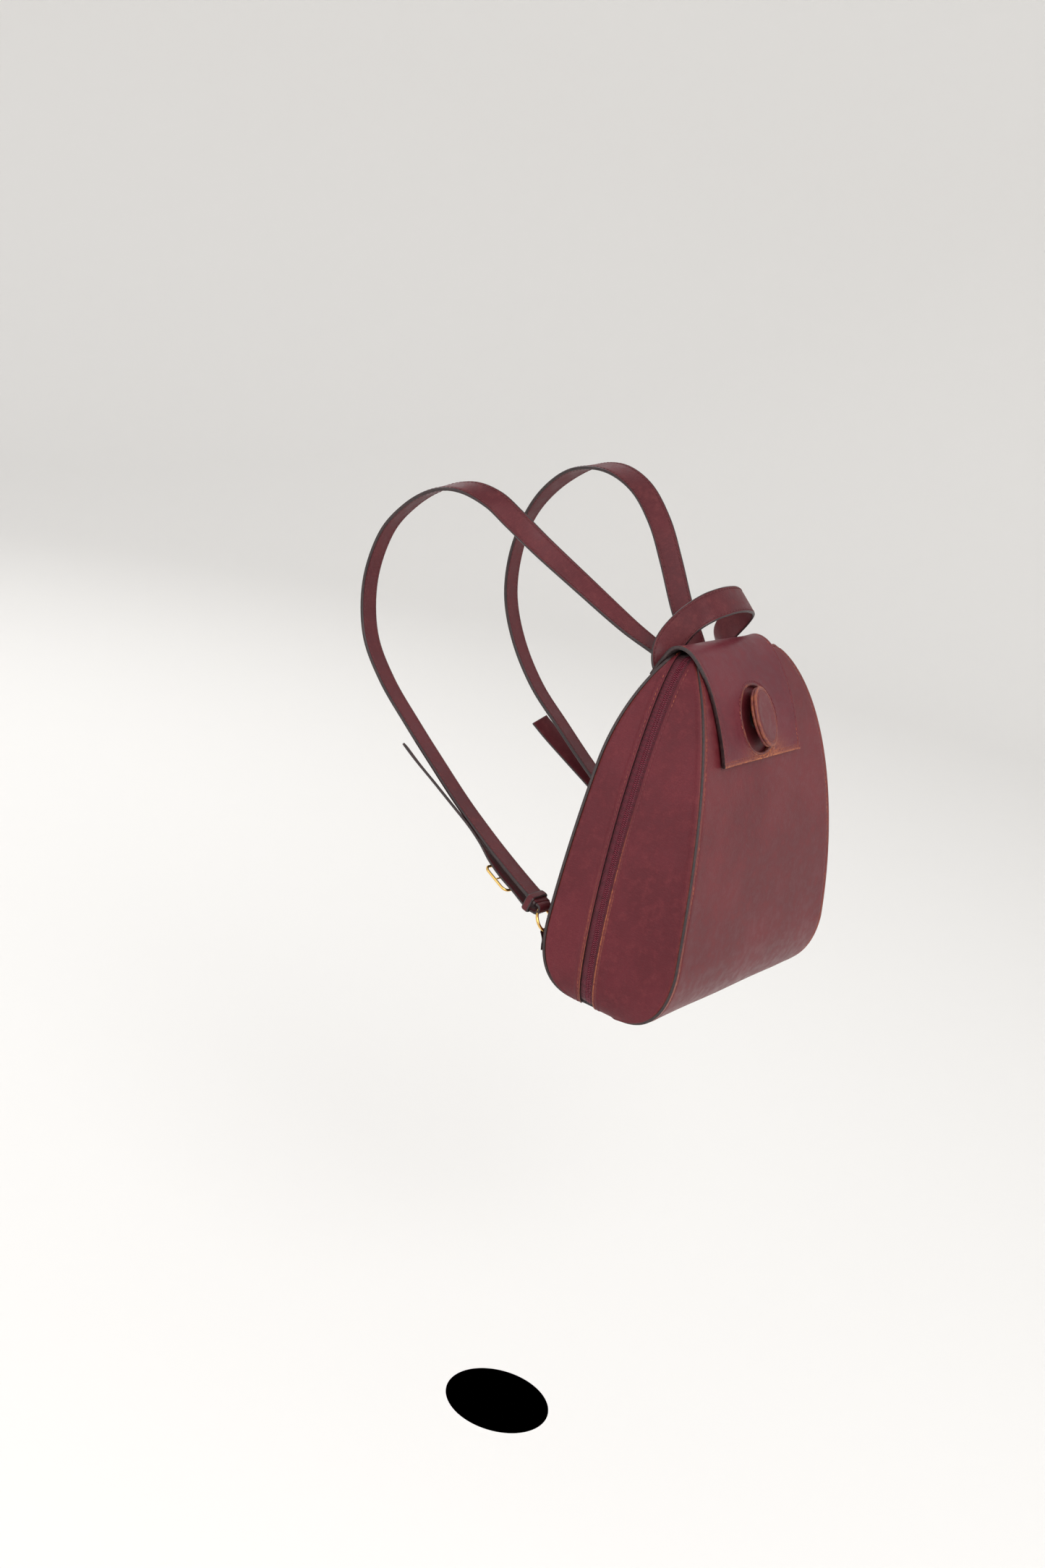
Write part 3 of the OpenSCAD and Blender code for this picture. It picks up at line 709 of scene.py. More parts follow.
def gusset(name, side, rear):
    """Half of a gusset, from the bottom corner up to the middle of the top."""
    points, wear_and_highlight, zip_row, zip_up = [], [], [], []
    fractions = np.linspace(0, 1, 19)[1:-1]
    for (x, h), (nx, nh), s in zip(side_line, side_out, arc(side_line)):
        fold = back_at(h) - 1.9 if rear else front_at(h) + 1.9
        lip = zip_at(h) + (ZIP_REAR if rear else -ZIP_FRONT)
        sign = 1 if lip > fold else -1
        width = abs(lip - fold)
        near_fold = np.array([0, 0.8, 1.8, 3, 4.5, 6.5]) * min(1, width / 18)
        near_lip = np.array([7.5, 6.2, 5.2, 4.2, 3.2, 2.6, 2.1, 1.5, 0.7, 0])
        near_lip = near_lip * min(1, width / 18)
        span = width - near_fold[-1] - near_lip[0]
        w = np.concatenate([near_fold, near_fold[-1] + span * fractions, width - near_lip])
        to_lip = width - w
        roll = 0.5 if rear else 0.9
        soft = smooth(w, 8, 30) * smooth(to_lip, 8, 25)
        crease = 0.0
        if not rear:
            crease = (-0.32 * soft - 0.9 * bump(w, 17 + 4 * math.sin(h / 37), 5) * bump(h, 105, 34)
                      - 0.6 * bump(w, 12, 4) * bump(h, 33, 10)
                      + 0.5 * bump(w, 26, 7) * bump(h, 80, 25)
                      + 0.25 * np.sin(h / 5.5 + w / 6) * bump(h, 26, 22) * bump(w, 14, 9))
        out = (-0.9 * bump(w, 0, 1.0) + roll * bump(w, 3.2, 2.2)
               + 0.5 * smooth(5.6 - to_lip, 0, 1.0) - 0.3 * bump(to_lip, 2.4, 0.5)
               + 0.5 * soft * ripple(w, s, 5 + rear) + crease)
        points.append(np.stack([side * (x + nx * out), fold + sign * w, h + nh * out], 1))
        wear_and_highlight.append((0.9 - 0.35 * rear) * bump(to_lip, 0.2, 0.55) * smooth(190 - 60 * rear - h, 0, 110)
                    + 0.2 * bump(to_lip, 2.4, 0.6) * bump(h, 60, 60) + 0.15 * bump(w, 0.5, 1))
        zip_row.append([side * (x + nx * 0.15), lip - sign * 2.3, h + nh * 0.15])
        zip_up.append([side * nx, 0, nh])
    case_stitches.row(zip_row, zip_up)
    obj = sheet_of(name, np.array(points), [GUSSET, EDGE if rear else GUSSET, INNER], GUSSET_T,
                   (side, 0, 0), np.array(wear_and_highlight), edge=0.6)
    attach(obj, "case")
    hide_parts(name.replace("side", "gusset"))


for side, letter in ((-1, "l"), (1, "r")):
    gusset("side_front_" + letter, side, False)
    gusset("side_rear_" + letter, side, True)

# ---- Zip -------------------------------------------------------------------

half_path = side_line[side_line[:, 1] > 1.5]
zip_path = evenly(np.concatenate([half_path * [-1, 1], half_path[::-1][1:]]), 3.0)
zip_out = outward(zip_path, -1)


def zip_points(depth, offsets):
    """Grid along the whole zip, depth inside the gussets' outer face."""
    return np.array([[[x - nx * depth, zip_at(h) + o, h - nh * depth] for o in offsets]
                     for (x, h), (nx, nh) in zip(zip_path, zip_out)])


for name, low, high in (("tape_front", -TAPE_HALF, -CHAIN_HALF + 0.5),
                        ("tape_rear", CHAIN_HALF - 0.5, TAPE_HALF)):
    tape = sheet_of(name, zip_points(GUSSET_T + 0.1, np.linspace(low, high, 9)),
                    [TAPE, TAPE, TAPE], 0.7, (0, 0, 1), edge=0)
    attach(tape, "case")
    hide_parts("zip_" + name)

bed = sheet_of("zip_bed", zip_points(2.6, np.linspace(-CHAIN_HALF, CHAIN_HALF, 5)),
               [TEETH, TEETH, TEETH], 0.8, (0, 0, 1), edge=0)
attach(bed, "case")
tooth_line = evenly(zip_path, TOOTH_PITCH)
tooth_out = outward(tooth_line, -1)
teeth_points, teeth_faces = [], []
for half, phase in ((-1, 0), (1, 0.5)):
    line = tooth_line[:-1] + phase * np.diff(tooth_line, axis=0)
    out = tooth_out[:-1]
    centre = np.stack([line[:, 0] - out[:, 0] * TOOTH_DEPTH, zip_at(line[:, 1]) + half * 1.25,
                       line[:, 1] - out[:, 1] * TOOTH_DEPTH], 1)
    up = np.stack([out[:, 0], 0 * out[:, 0], out[:, 1]], 1)
    across = np.tile([0, 1.0, 0], (len(line), 1))
    p, f = capsules(centre, across, up, 2.9, 0.62)
    base = len(teeth_points)
    teeth_points += p
    teeth_faces += [[base + i for i in face] for face in f]
teeth = add_mesh("zip_coils", teeth_points, teeth_faces, [TEETH])
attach(teeth, "case")
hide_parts("zip_chain")

# ---- Flap ------------------------------------------------------------------

back_end = cubic(BACK_CURVE, 100)[72]
flap_base = joined(cubic([back_end, [-15, 276], [-19, 284], [-22, 290]], 20),
                   cubic([[-22, 290], [-26, 302], [-37, 300], [-44, 295]], 40),
                   cubic(FRONT_CURVE, 400)[::-1][:190])
flap_line = evenly(flap_base, 1.0)
flap_line = flap_line + outward(flap_line, 1) * (FLAP_GAP + FLAP_T)
keep = (flap_line[:, 1] > FLAP_LOW) & ~((flap_line[:, 0] > -20) & (flap_line[:, 1] < 272))
flap_line = evenly(flap_line[keep], 1.0)
flap_out = outward(flap_line, 1)
flap_arc = arc(flap_line)
flap_total = flap_arc[-1]
to_button = np.abs((flap_line - BUTTON_AT[1:]) @ [math.cos(math.radians(BUTTON_TIP)),
                                                  math.sin(math.radians(BUTTON_TIP))])
hole_s = flap_arc[np.argmin(to_button + 50 * (flap_line[:, 0] > -60))]
middle_s = flap_arc[np.argmin(np.abs(flap_line[:, 0] + 31) + 50 * (flap_line[:, 1] < 298))]


def on_flap(x, s):
    """Point of the flap's outer face at sideways place x and distance s along it."""
    x, s = np.asarray(x, float), np.asarray(s, float)
    y, h = (np.interp(s, flap_arc, flap_line[:, k]) for k in (0, 1))
    ny, nh = (np.interp(s, flap_arc, flap_out[:, k]) for k in (0, 1))
    half = np.where(s > middle_s, FLAP_HALF - 1 + (s - middle_s) / (flap_total - middle_s),
                    FLAP_HALF - 1)
    to_side = half - np.abs(x)
    to_low = flap_total - s
    radius = np.hypot(x, s - hole_s)
    out = (0.5 * bump(to_side, 0, 7) + 0.8 * bump(to_side, 0, 12) * bump(to_low, 0, 26) * (x < 0)
           - 0.35 * bump(to_side, FLAP_SEAM, 0.7) - 0.35 * bump(to_low, FLAP_SEAM, 0.7)
           + 0.35 * ripple(x, s, 12) * smooth(to_side, 4, 20) * smooth(to_low, 4, 20)
           + 0.4 * bump(radius, HOLE_R + 4, 2.6))
    return np.stack([x + FLAP_SHIFT, y + ny * out, h + nh * out], -1)


def flap_normal(s):
    """Direction square to the flap at distance s along it."""
    ny, nh = (np.interp(s, flap_arc, flap_out[:, k]) for k in (0, 1))
    return np.stack([0 * ny, ny, nh], -1)


def flap_wear(x, s):
    """Worn lower edge, a worn patch under the button and a crescent under the hole."""
    to_side = FLAP_HALF - np.abs(x)
    to_low = flap_total - s
    return (0.55 * bump(to_low, 0, 1.6) + 0.1 * bump(to_side, 0, 1.3)
            + 0.5 * bump(to_low, 6, 8) * bump(x, 8, 26) + 0.2 * bump(to_low, FLAP_SEAM, 0.9)
            + 0.25 * bump(np.hypot(x, s - hole_s), HOLE_R + 0.5, 2) * (s > hole_s))


def flap_columns():
    """Sideways places over the flap's width, close together near both edges."""
    side = FLAP_HALF - 1 - np.array([0, 0.8, 1.8, 2.7, 3.4, 4.1, 5.2, 8, 13])
    middle = np.linspace(-side[-1], side[-1], 24)[1:-1]
    return np.concatenate([-side, middle, side[::-1]])


rear_s = np.append(np.arange(0, middle_s, 2.2), middle_s)
xs = flap_columns()
rear_points = np.array([on_flap(xs, np.full_like(xs, s)) for s in rear_s])
flap_rear = sheet_of("flap_rear", rear_points, [FLAP, EDGE, INNER], FLAP_T, (0, 1, 0.3),
                     np.array([flap_wear(xs, s) for s in rear_s]), edge=0)


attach(flap_rear, "case")
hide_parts("flap_root", "flap_top")


def flap_front_mesh():
    """Front of the flap: straight rows over the ridge, then rings round the button's hole."""
    top_s = hole_s - 41
    rows_s = np.append(np.arange(middle_s, top_s - 1, 2.2), top_s)
    points = [on_flap(xs, np.full_like(xs, s)) for s in rows_s]
    wear_and_highlight = [flap_wear(xs, s) for s in rows_s]
    uv = [np.stack([xs, np.full_like(xs, s)], 1) for s in rows_s]
    cols = len(xs)
    faces = grid_faces(len(rows_s), cols, flip=True)
    base = (len(rows_s) - 1) * cols
    # Outline of the part with the hole, from its top left corner round by the right side
    down = flap_total - top_s - np.array([0, 0.8, 1.8, 2.7, 3.4, 4.1, 5.2, 8])[::-1]
    down = np.concatenate([np.linspace(0, down[0], 14)[1:-1], down])
    right = [(xs[-1] + d / down[-1], top_s + d) for d in down]
    low = [(x * FLAP_HALF / (FLAP_HALF - 1), flap_total) for x in xs[::-1][1:-1]]
    left = [(-x, s) for x, s in right][::-1]
    outline = [(x, top_s) for x in xs] + right + low + left
    n = len(outline)
    outline = np.array(outline)
    direction = unit(outline - [0, hole_s])
    start = np.array([0, hole_s]) + direction * HOLE_R
    edge_in = np.array([0, 0.6, 1.2, 1.8, 2.3, 2.9, 3.6, 5.2])
    shares = []
    for o, a in zip(outline, start):
        length = np.linalg.norm(o - a)
        k = edge_in / length * min(1, 0.4 * length / edge_in[-1])
        middle = np.linspace(k[-1], 1 - k[-1], 14)
        shares.append(np.concatenate([k[:-1], middle, (1 - k[:-1])[::-1]]))
    shares = np.array(shares).T
    all_points = [np.concatenate(points)]
    all_wear, all_uv = [np.concatenate(wear_and_highlight)], [np.concatenate(uv)]
    count = len(rows_s) * cols
    rings = []
    for k in shares:
        q = start + (outline - start) * k[:, None]
        ids = list(range(count, count + n))
        if np.allclose(k, 1):
            q = q[cols:]
            ids = [base + j for j in range(cols)] + ids[:n - cols]
        all_points.append(on_flap(q[:, 0], q[:, 1]))
        all_wear.append(flap_wear(q[:, 0], q[:, 1]))
        all_uv.append(q)
        count += len(q)
        rings.append(ids)
    for a, b in zip(rings[:-1], rings[1:]):
        for j in range(n):
            k = (j + 1) % n
            faces.append([a[j], a[k], b[k], b[j]])
    obj = add_mesh("flap_drop_sheet", np.concatenate(all_points), faces, [FLAP, EDGE, INNER],
                   uv=np.concatenate(all_uv), wear_and_highlight=np.concatenate(all_wear))
    thicken(obj, FLAP_T, 0.9)
    return obj


flap_front = flap_front_mesh()
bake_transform(flap_front)
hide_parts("flap_front")

flap_stitches = Stitching()
s_run = np.linspace(middle_s, flap_total - FLAP_SEAM, 60)
for side in (-1, 1):
    half = FLAP_HALF - 1 + (s_run - middle_s) / (flap_total - middle_s) - FLAP_SEAM
    flap_stitches.row(on_flap(side * half, s_run), flap_normal(s_run), sink=0.0)
x_run = np.linspace(-FLAP_HALF + FLAP_SEAM, FLAP_HALF - FLAP_SEAM, 50)
low_s = np.full_like(x_run, flap_total - FLAP_SEAM)
flap_stitches.row(on_flap(x_run, low_s), flap_normal(low_s), sink=0.0)
turn = np.linspace(0, 2 * math.pi, 73)
ring_s = hole_s + (HOLE_R + HOLE_SEAM) * np.sin(turn)
flap_stitches.row(on_flap((HOLE_R + HOLE_SEAM) * np.cos(turn), ring_s), flap_normal(ring_s), sink=0.0)
obj = flap_stitches.make("flap_stitches", None, THREAD)
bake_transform(obj)

rim_points = []
for beyond, lift in ((-0.6, -2.6), (-0.6, -0.3), (-0.3, 0.3), (0.3, 0.5), (1.1, 0.45),
                     (1.7, 0.2), (2.0, -0.5)):
    r = HOLE_R + beyond
    s_ring = hole_s + r * np.sin(turn)
    rim_points.append(on_flap(r * np.cos(turn), s_ring) + flap_normal(s_ring) * lift)
rim = add_mesh("hole_rim", np.array(rim_points), grid_faces(7, 73), [RIM],
               uv=grid_uv(np.array(rim_points)))
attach(rim, "flap_drop")
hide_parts("flap_hole_rim")

# ---- Button ----------------------------------------------------------------

button_place = (shift(*BUTTON_AT) @ turn_about("X", BUTTON_TIP) @ shift(0, 0, PIN_Z)
                @ turn_about("Y", BUTTON_TURN))


def button_layer(name, r, low, thickness, node, dished):
    """Leather disc with a stitched ring, a soft face and worn round edges."""
    high = low + thickness
    steps = [(2.0, low), (r - 1.2, low), (r - 0.4, low + 0.3), (r, low + 0.9), (r, high - 0.9),
             (r - 0.35, high - 0.25), (r - 1.1, high + 0.05)]
    kinds = [2, 1, 1, 1, 1, 0]
    wear_and_highlight = [0, 0, 0.1, 0.2, 0.3, 0.6, 0.6]
    for d in (1.8, 2.6, 3.2, 3.7, 4.2, 5.0, 6.5, 9.0, 13.0, 17.0, 20.0, 22.0):
        z = (high + 0.1 - 0.45 * bump(d, BUTTON_SEAM, 0.6) + 0.25 * bump(d, 7, 3)
             - dished * smooth(d, 8, 16))
        steps.append((r - d, z))
        kinds.append(0)
        wear_and_highlight.append(0.3 * bump(d, 1.2, 1.6) + 0.15 * bump(d, BUTTON_SEAM, 0.8))
    obj = lathe(name, steps, button_place, [BUTTON, WORN, INNER], kinds, wear_and_highlight=np.array(wear_and_highlight))
    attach(obj, "button")
    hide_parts(node)


button_layer("button_disc_low", BUTTON_R - 0.5, BUTTON_LOW, BUTTON_LAYER, "button_base", 0)
button_layer("button_disc_top", BUTTON_R, BUTTON_LOW + BUTTON_LAYER + 0.05, BUTTON_LAYER - 0.1,
             "button_face", 0.35)
button_stitches = Stitching()
seam_r, seam_z = BUTTON_R - BUTTON_SEAM, 8.0
circle = np.stack([seam_r * np.cos(turn), seam_r * np.sin(turn), np.full_like(turn, seam_z)], 1)
button_stitches.row(placed(circle, button_place), np.tile(button_place[:3, 2], (len(turn), 1)), sink=0.0)
obj = button_stitches.make("button_stitches", "button", THREAD)

# ---- Yoke, handle and straps -----------------------------------------------

strap_stitches = Stitching()
yoke_edge = np.array([0, 0.8, 1.8, 2.6, 3.2, 3.8, 5])
yoke_up = np.concatenate([yoke_edge, [9, 14, 19, 24, 28], (YOKE_TALL - yoke_edge)[::-1]])
back_dense = evenly(BACK_LINE, 0.5)
back_dense_out = outward(back_dense, 1)


def over_back(h, out):
    """Point [y, h] standing out from the back panel at height h."""
    y, ny, nh = (np.interp(h, back_dense[:, 1], v)
                 for v in (back_dense[:, 0], back_dense_out[:, 0], back_dense_out[:, 1]))
    return y + ny * out, h + nh * out, ny, nh


yoke_points = []
for d in yoke_up:
    half = YOKE_HALF - 4 * d / YOKE_TALL
    to_end = min(d, YOKE_TALL - d)
    corner = 6 - math.sqrt(max(0, 36 - max(0, 6 - to_end) ** 2))
    x = across_columns(half - corner, EDGE_STEPS)
    inset = np.minimum(half - np.abs(x), to_end)
    y, h, ny, nh = over_back(YOKE_LOW + d, YOKE_T - 0.3 * bump(inset, 3.2, 0.6))
    yoke_points.append(np.stack([x, y, h], 1))
yoke = sheet_of("yoke_patch", np.array(yoke_points), [STRAP, EDGE, INNER], 2.3, (0, 1, 0))
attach(yoke, "case")
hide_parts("yoke")


def yoke_line(x, h):
    """Points on the yoke's face at [x, h], and the directions that it faces there."""
    y, hh, ny, nh = over_back(np.asarray(h, float), YOKE_T - 0.1)
    return (np.stack([np.asarray(x, float) + 0 * y, y, hh], 1),
            np.stack([0 * ny, ny, nh], 1))


for x0, h0, x1, h1 in ((-60.3, 239.2, 60.3, 239.2), (-57.2, 268.2, 57.2, 268.2),
                       (-60.6, 240, -57, 267), (60.6, 240, 57, 267)):
    p, n = yoke_line(np.linspace(x0, x1, 30), np.linspace(h0, h1, 30))
    strap_stitches.row(p, n, sink=0.0)

HANDLE_HALF_LINE = [[-48, -2.2, 246], [-48, -4.6, 254], [-48, -6.7, 261.5], [-48, -7, 266],
                    [-48, -3.5, 280], [-46, -4, 296], [-44, -14, 316], [-34, -23, 329],
                    [-17, -27, 334.5]]
HANDLE_ACROSS = [[1, 0, 0]] * 4 + [[0.8, -0.6, 0], [0.25, -0.95, -0.1], [0, -0.9, -0.4],
                                   [0, -0.78, -0.62], [0, -0.74, -0.67]]


def flipped(points):
    """A left half's list as its right half, in reverse order."""
    return [[-x, y, z] for x, y, z in points[::-1]]


handle_line = through(HANDLE_HALF_LINE + [[0, -28, 336]] + flipped(HANDLE_HALF_LINE), 8)
handle_across = through(HANDLE_ACROSS + [[0, -0.74, -0.67]] + flipped(HANDLE_ACROSS), 8)


def band_stitches(stitches, line, across, w, t, outer):
    """Rows along both edges of a band, on its face that looks the way of outer (1 or -1)."""
    _, flat, up = frames_of(line, across)
    for side in (-1, 1):
        p = line + side * (w / 2 - STRAP_SEAM) * flat + outer * up * (t / 2 + 0.02)
        stitches.row(p, outer * up, sink=0.0)


handle_outer = np.sign(frames_of(handle_line, handle_across)[2][len(handle_line) // 2][2])
section, kinds = band_section(HANDLE_W, HANDLE_T, 0.2, sides=(handle_outer, 1))
handle = sweep("handle_band", handle_line, handle_across, section, [STRAP, EDGE, STRAP], kinds)
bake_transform(handle)
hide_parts("handle", "handle_ends")
handle_stitches = Stitching()
band_stitches(handle_stitches, handle_line[6:-6], handle_across[6:-6], HANDLE_W, HANDLE_T,
              handle_outer)
obj = handle_stitches.make("handle_stitches", None, STRAP_THREAD)
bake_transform(obj)

STRAP_LEFT = [
    [-22, -1.5, 242], [-22, -4.7, 254], [-23, -4.5, 265], [-26, 8, 277], [-34, 45, 292],
    [-47, 92, 316], [-58, 130, 336], [-66, 158, 352], [-71, 180, 363], [-75, 206, 366],
    [-78, 232, 357], [-80, 256, 336], [-83, 273, 306], [-86, 277, 262], [-88, 264, 218],
    [-91, 235, 186], [-94, 196, 158], [-98, 158, 134], [-102, 123, 113], [-106, 90, 96],
    [-110, 64, 84.5], [-114, 38, 74], [-117.5, 15.8, 66]]
STRAP_RIGHT = [
    [22, -1.5, 242], [22, -4.7, 254], [23, -4, 265], [27, 8, 279], [35, 34, 304],
    [44, 62, 340], [51, 86, 368], [58, 116, 390], [66, 152, 397], [73, 188, 386],
    [79, 218, 360], [84, 238, 326], [88, 246, 286], [91, 242, 246], [94, 224, 208],
    [97, 196, 174], [100, 162, 147], [103, 128, 121], [106, 94, 98],
    [110, 66, 85.5], [114, 38, 74], [117.5, 15.8, 66]]
BELT = [
    [-117.5, 15.8, 58.4], [-117, 22, 58.9], [-116, 30, 61.2], [-114.3, 42, 66.5], [-112, 59, 73],
    [-111, 74, 80.5], [-110, 89, 89], [-109, 106, 98], [-108, 128, 109], [-107, 152, 121],
    [-106.5, 174, 132], [-106, 190, 141]]
BELT_ACROSS = ([[1, 0, 0]] * 5 + [[0.98, 0.03, -0.12], [0.9, 0.1, -0.4]]
               + [[0.84, 0.13, -0.52]] * 5)


def strap_across(n, side):
    """Direction of a strap's width: flat on the back, up the slope, flat on the shoulder."""
    out = []
    for s in np.linspace(0, 1, n):
        if side > 0 and 0.12 <= s < 0.50:
            out.append([0.85, -0.4, 0.12] if s < 0.17 else [0.6, -0.75, 0.35] if s < 0.45
                       else [0.85, -0.35, 0.15])
        elif side > 0 or s < 0.10 or s >= 0.48:
            out.append([side, 0, 0])
        elif s < 0.32:
            out.append([2.2 * (s - 0.10) - 1, 1.6 * (s - 0.10), -3.6 * (s - 0.10)])
        else:
            out.append([-0.52 - 3 * (s - 0.32), 0.35 - 2.2 * (s - 0.32), -0.8 + 5 * (s - 0.32)])
    return out


def make_strap(points, side, letter):
    """Stitched band from the yoke over the shoulder to the ring."""
    line = through(points, 8)
    across = through(strap_across(len(points), side), 8)
    section, kinds = band_section(STRAP_W, STRAP_T, 0.25, STRAP_SEAM, sides=(-side, 1))
    strap = sweep("strap_band_" + letter, line, across, section, [STRAP, EDGE, STRAP], kinds)
    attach(strap, "case")
    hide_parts("strap_" + letter)
    for face in (-1, 1):
        band_stitches(strap_stitches, line, across, STRAP_W, STRAP_T, face)


def make_belt(side, letter):
    """The strap's end that comes back from the ring, with its bare inner face up."""
    line = mirrored(through(BELT, 8), side)
    across = mirrored(through(BELT_ACROSS, 8), side)
    outer = -np.sign(frames_of(line, across)[2][5][2])
    section, kinds = band_section(BELT_W, BELT_T, 0.1, BELT_SEAM, 0.25, sides=(outer, 1))
    belt = sweep("belt_band_" + letter, line, across, section, [INNER, EDGE, STRAP], kinds)
    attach(belt, "case")
    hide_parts("belt_" + letter)


def make_turn(side, letter):
    """The bend round the ring between the strap and its belt."""
    x, y, h = TURN_AT
    line = mirrored([[x, y - TURN_R * math.sin(a), h + TURN_R * math.cos(a)]
                     for a in np.linspace(-0.15, math.pi + 0.15, 25)], side)
    section, kinds = band_section(BELT_W, 2.3, 0.1, BELT_SEAM, 0.2)
    bent = sweep("turn_band_" + letter, line, np.tile([1.0, 0, 0], (len(line), 1)), section,
                 [STRAP, EDGE, STRAP], kinds)
    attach(bent, "case")
    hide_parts("turn_" + letter)


def make_keeper(side, letter):
    """Narrow band closed round the strap and its belt."""
    place = shift(*KEEPER_AT) @ turn_about("X", KEEPER_TIP)
    loop = mirrored(placed([[x, 0, z] for x, z in rounded_loop(11.2, 6.9, 2.5, 7)], place), side)
    wide = mirrored([place[:3, 1]] * len(loop), side)
    section, kinds = band_section(6.5, 1.3, 0.15, 1.2, 0.0, sides=(side, 1))
    keeper = sweep("keeper_loop_" + letter, loop, wide, section, [STRAP, EDGE, INNER], kinds,
                   closed=True)
    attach(keeper, "case")
    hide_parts("keeper_" + letter)


def make_ring(side, letter):
    """Round wire ring at the lower corner of the back."""
    place = shift(*RING_AT) @ turn_about("X", RING_TIP)
    around = np.linspace(0, 2 * math.pi, 65)[:-1]
    ring = np.stack([RING_R * np.cos(around), RING_R * np.sin(around), 0 * around], 1)
    normal = mirrored([place[:3, 2]] * len(ring), side)
    hoop = tube("ring_hoop_" + letter, mirrored(placed(ring, place), side), normal, RING_WIRE,
                GOLD, closed=True, n=16)
    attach(hoop, "case")
    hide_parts("ring_" + letter)


def make_tab(side, letter):
    """Tab that leaves the back panel, goes round the ring and comes back."""
    path = [[-1.6, 26.5], [-0.2, 32], [0.4, 37], [0.7, 41.5]]
    path += [[3.5 - 2.5 * math.cos(a), 45.7 + 2.5 * math.sin(a)]
             for a in np.linspace(0.2, math.pi + 0.9, 15)]
    path += [[2.9, 39.5], [2.4, 35], [1.6, 30.5]]
    line = mirrored(through([[RING_AT[0], y, h] for y, h in path], 4), side)
    section, kinds = band_section(14, 1.5, 0.1, 2.0, 0.15)
    tab = sweep("tab_band_" + letter, line, np.tile([1.0, 0, 0], (len(line), 1)),
                section, [STRAP, EDGE, STRAP], kinds)
    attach(tab, "case")
    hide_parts("ring_tab_" + letter)


def make_buckle(side, letter):
    """Buckle frame, its middle bar and the prong on it."""
    place = (shift(*BUCKLE_AT) @ turn_about("Z", BUCKLE_TURN) @ turn_about("X", BUCKLE_TIP)
             @ shift(0, 0, -BUCKLE_DROP))
    loop = placed([[x, y, 0] for x, y in rounded_loop(11.9, 13.9, 5, 8)], place)
    bar = placed([[x, 0, 0] for x in np.linspace(-11, 11, 9)], place)
    prong = placed(through([[0, -1.4, -0.4], [0, -0.7, -1.5], [0, 1.5, -1.9], [0, 8, -1.95],
                            [0, 15.4, -1.9]], 5), place)
    for name, line, normal, r, closed, n, body in (
            ("buckle_frame_", loop, place[:3, 2], 1.2, True, 14, "case"),
            ("buckle_bar_", bar, place[:3, 2], 0.7, False, 12, "case"),
            ("prong_pin_", prong, place[:3, 0], 0.75, False, 12, "prong_" + letter)):
        piece = tube(name + letter, mirrored(line, side), mirrored([normal] * len(line), side),
                     r, GOLD, closed=closed, n=n)
        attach(piece, body)
        if name == "buckle_frame_":
            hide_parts("buckle_" + letter)
        elif name == "prong_pin_":
            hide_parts("prong_" + letter)


for points, side, letter in ((STRAP_LEFT, -1, "l"), (STRAP_RIGHT, 1, "r")):
    make_strap(points, side, letter)
    for make in (make_belt, make_turn, make_keeper, make_ring, make_tab, make_buckle):
        make(side, letter)

obj = case_stitches.make("case_stitches", "case", THREAD)
obj = strap_stitches.make("strap_stitches", "case", STRAP_THREAD)

# ---- CAD nodes that stay ---------------------------------------------------

KEPT = {"zip_slider_l": GOLD, "zip_slider_r": GOLD, "zip_pull_l": GOLD, "zip_pull_r": GOLD,
        "button_shank": GOLD, "button_stem": EDGE, "lining_front": LINING, "lining_back": LINING,
        "base_board": BOARD, "back_board": BOARD, "inner_pocket": LINING}
for name, material in KEPT.items():
    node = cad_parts[name]
    data = node.data
    co = np.zeros(len(data.vertices) * 3, np.float32)
    data.vertices.foreach_get("co", co)
    data.attributes.new("rest", "FLOAT_VECTOR", "POINT").data.foreach_set("vector", co)
    data.materials.clear()
    data.materials.append(material)
    if material is GOLD:
        bevel = node.modifiers.new("edge", "BEVEL")
        bevel.width = 0.3 * MM
        bevel.segments = 2

# ---- Stage, light and camera -----------------------------------------------

FLOOR_Z, FLOOR_R, COVE_R, WALL_Z = -0.62, 3.2, 1.2, 2.4
FLOOR_SIDES = 96
cove = [(FLOOR_R + COVE_R * math.sin(a), FLOOR_Z + COVE_R * (1 - math.cos(a)))
        for a in np.linspace(0, math.pi / 2, 17)]
outline = [(0.05, FLOOR_Z)] + cove + [(FLOOR_R + COVE_R, WALL_Z)]
floor_mesh = bpy.data.meshes.new("floor")
floor_mesh.from_pydata(
    [(r * math.cos(2 * math.pi * i / FLOOR_SIDES), r * math.sin(2 * math.pi * i / FLOOR_SIDES), z)
     for r, z in outline for i in range(FLOOR_SIDES)], [],
    grid_faces(len(outline), FLOOR_SIDES, around=True) + [list(range(FLOOR_SIDES))])
floor_mesh.polygons.foreach_set("use_smooth", np.ones(len(floor_mesh.polygons), bool))
floor = bpy.data.objects.new("floor", floor_mesh)
bpy.context.scene.collection.objects.link(floor)
floor_material, nodes, links, shader = new_material("floor_paper", (0.80, 0.79, 0.775), 0.9)
shader.inputs["Specular IOR Level"].default_value = 0.1
floor_mesh.materials.append(floor_material)
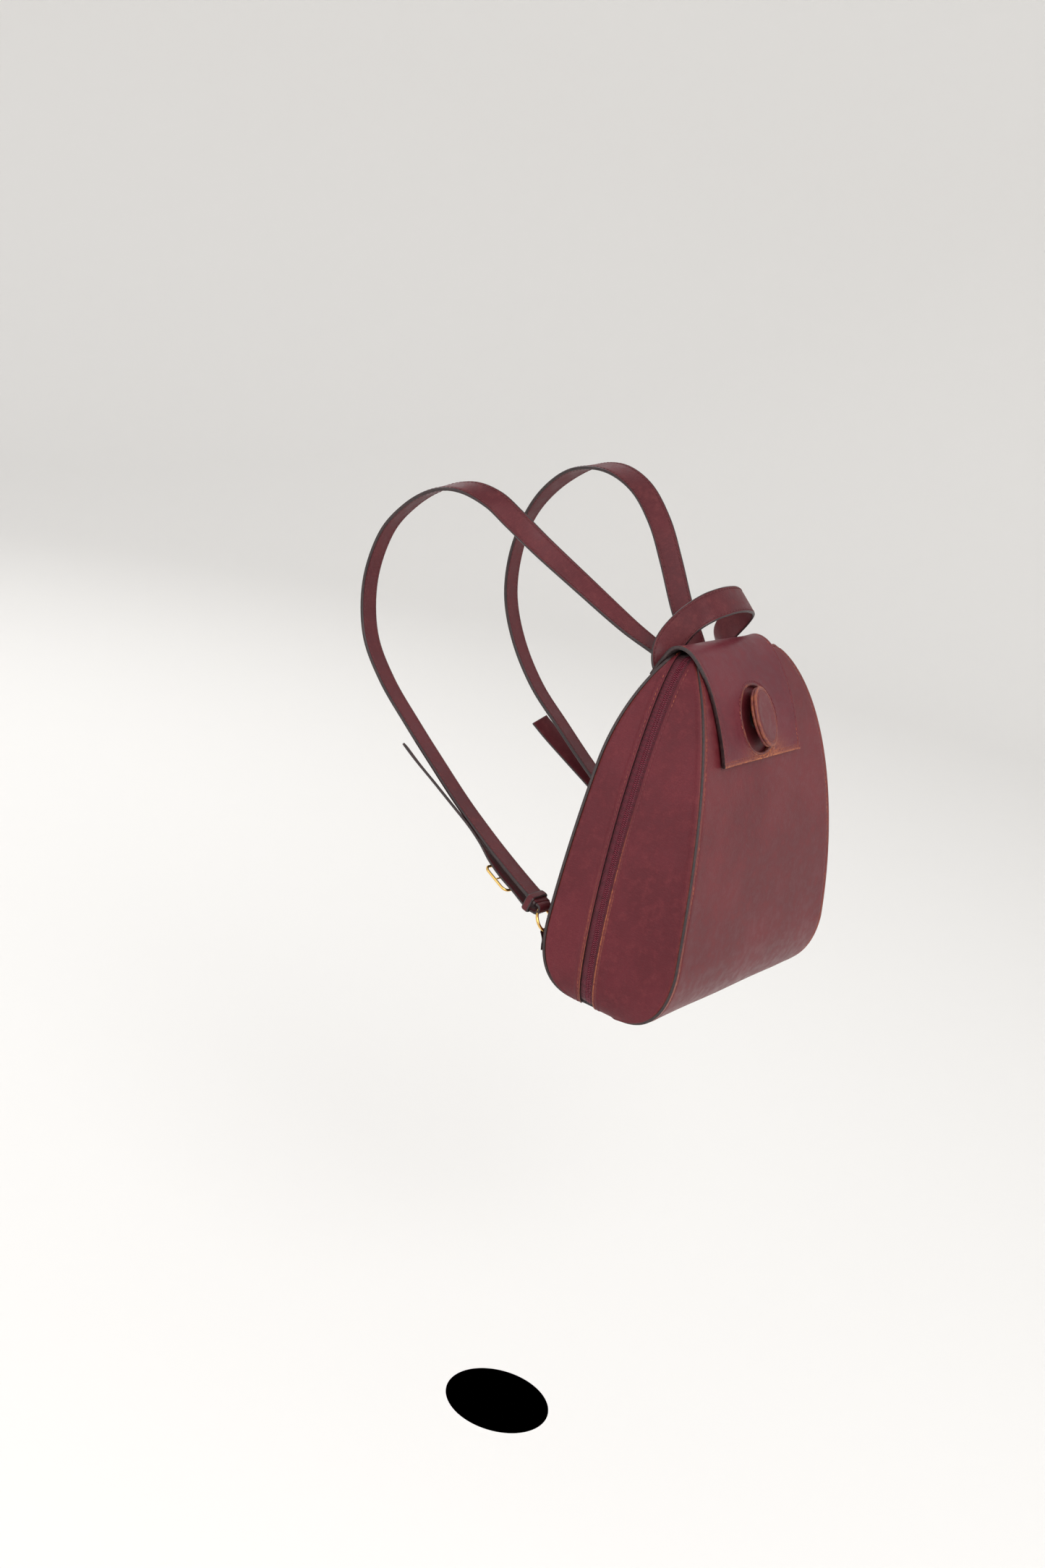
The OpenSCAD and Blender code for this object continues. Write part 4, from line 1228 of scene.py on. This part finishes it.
floor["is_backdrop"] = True

world = bpy.data.worlds.new("studio")
bpy.context.scene.world = world
world.use_nodes = True
world.node_tree.nodes["Background"].inputs["Color"].default_value = (0.93, 0.925, 0.92, 1)
world.node_tree.nodes["Background"].inputs["Strength"].default_value = 0.9


def area_light(name, at, size, power, color=(1, 1, 1)):
    data = bpy.data.lights.new(name, "AREA")
    data.energy, data.size, data.color = power, size, color
    lamp = bpy.data.objects.new(name, data)
    lamp.location = at
    lamp.rotation_euler = (Vector((0, 0, 0.02)) - Vector(at)).to_track_quat("-Z", "Y").to_euler()
    bpy.context.scene.collection.objects.link(lamp)


# Camera: azimuth, elevation and roll of its view, and its shift from the case's middle
AZ, EL, ROLL = math.radians(59.52), math.radians(17.39), math.radians(13.33)
DISTANCE, SHIFT_RIGHT, SHIFT_UP = 1741.96, 148.36, -25.92
LENS, SENSOR = 47.0263, 36.0
look = Vector((math.sin(AZ) * math.cos(EL), math.cos(AZ) * math.cos(EL), -math.sin(EL)))
level = Vector((math.cos(AZ), -math.sin(AZ), 0))
upright = level.cross(look)
right = level * math.cos(ROLL) + upright * math.sin(ROLL)
up = upright * math.cos(ROLL) - level * math.sin(ROLL)
where = Vector((0, -45, 0)) - look * DISTANCE - right * SHIFT_RIGHT - up * SHIFT_UP
camera_data = bpy.data.cameras.new("camera")
camera_data.sensor_width = SENSOR
camera_data.lens = LENS
camera = bpy.data.objects.new("camera", camera_data)
bpy.context.scene.collection.objects.link(camera)
camera.matrix_world = Matrix.Translation(where * MM) @ Matrix((
    (right.x, up.x, -look.x, 0), (right.y, up.y, -look.y, 0), (right.z, up.z, -look.z, 0),
    (0, 0, 0, 1)))
bpy.context.scene.camera = camera

area_light("key", (-1.5, -1.9, 1.7), 1.8, 42)
area_light("fill", (-2.2, 0.6, 0.6), 2.0, 14)
area_light("front", (1.2, -2.4, 0.7), 1.8, 8)
area_light("back", (0.8, 2.2, 1.4), 1.8, 22)
bpy.context.scene.view_settings.view_transform = "Standard"

low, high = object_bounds()
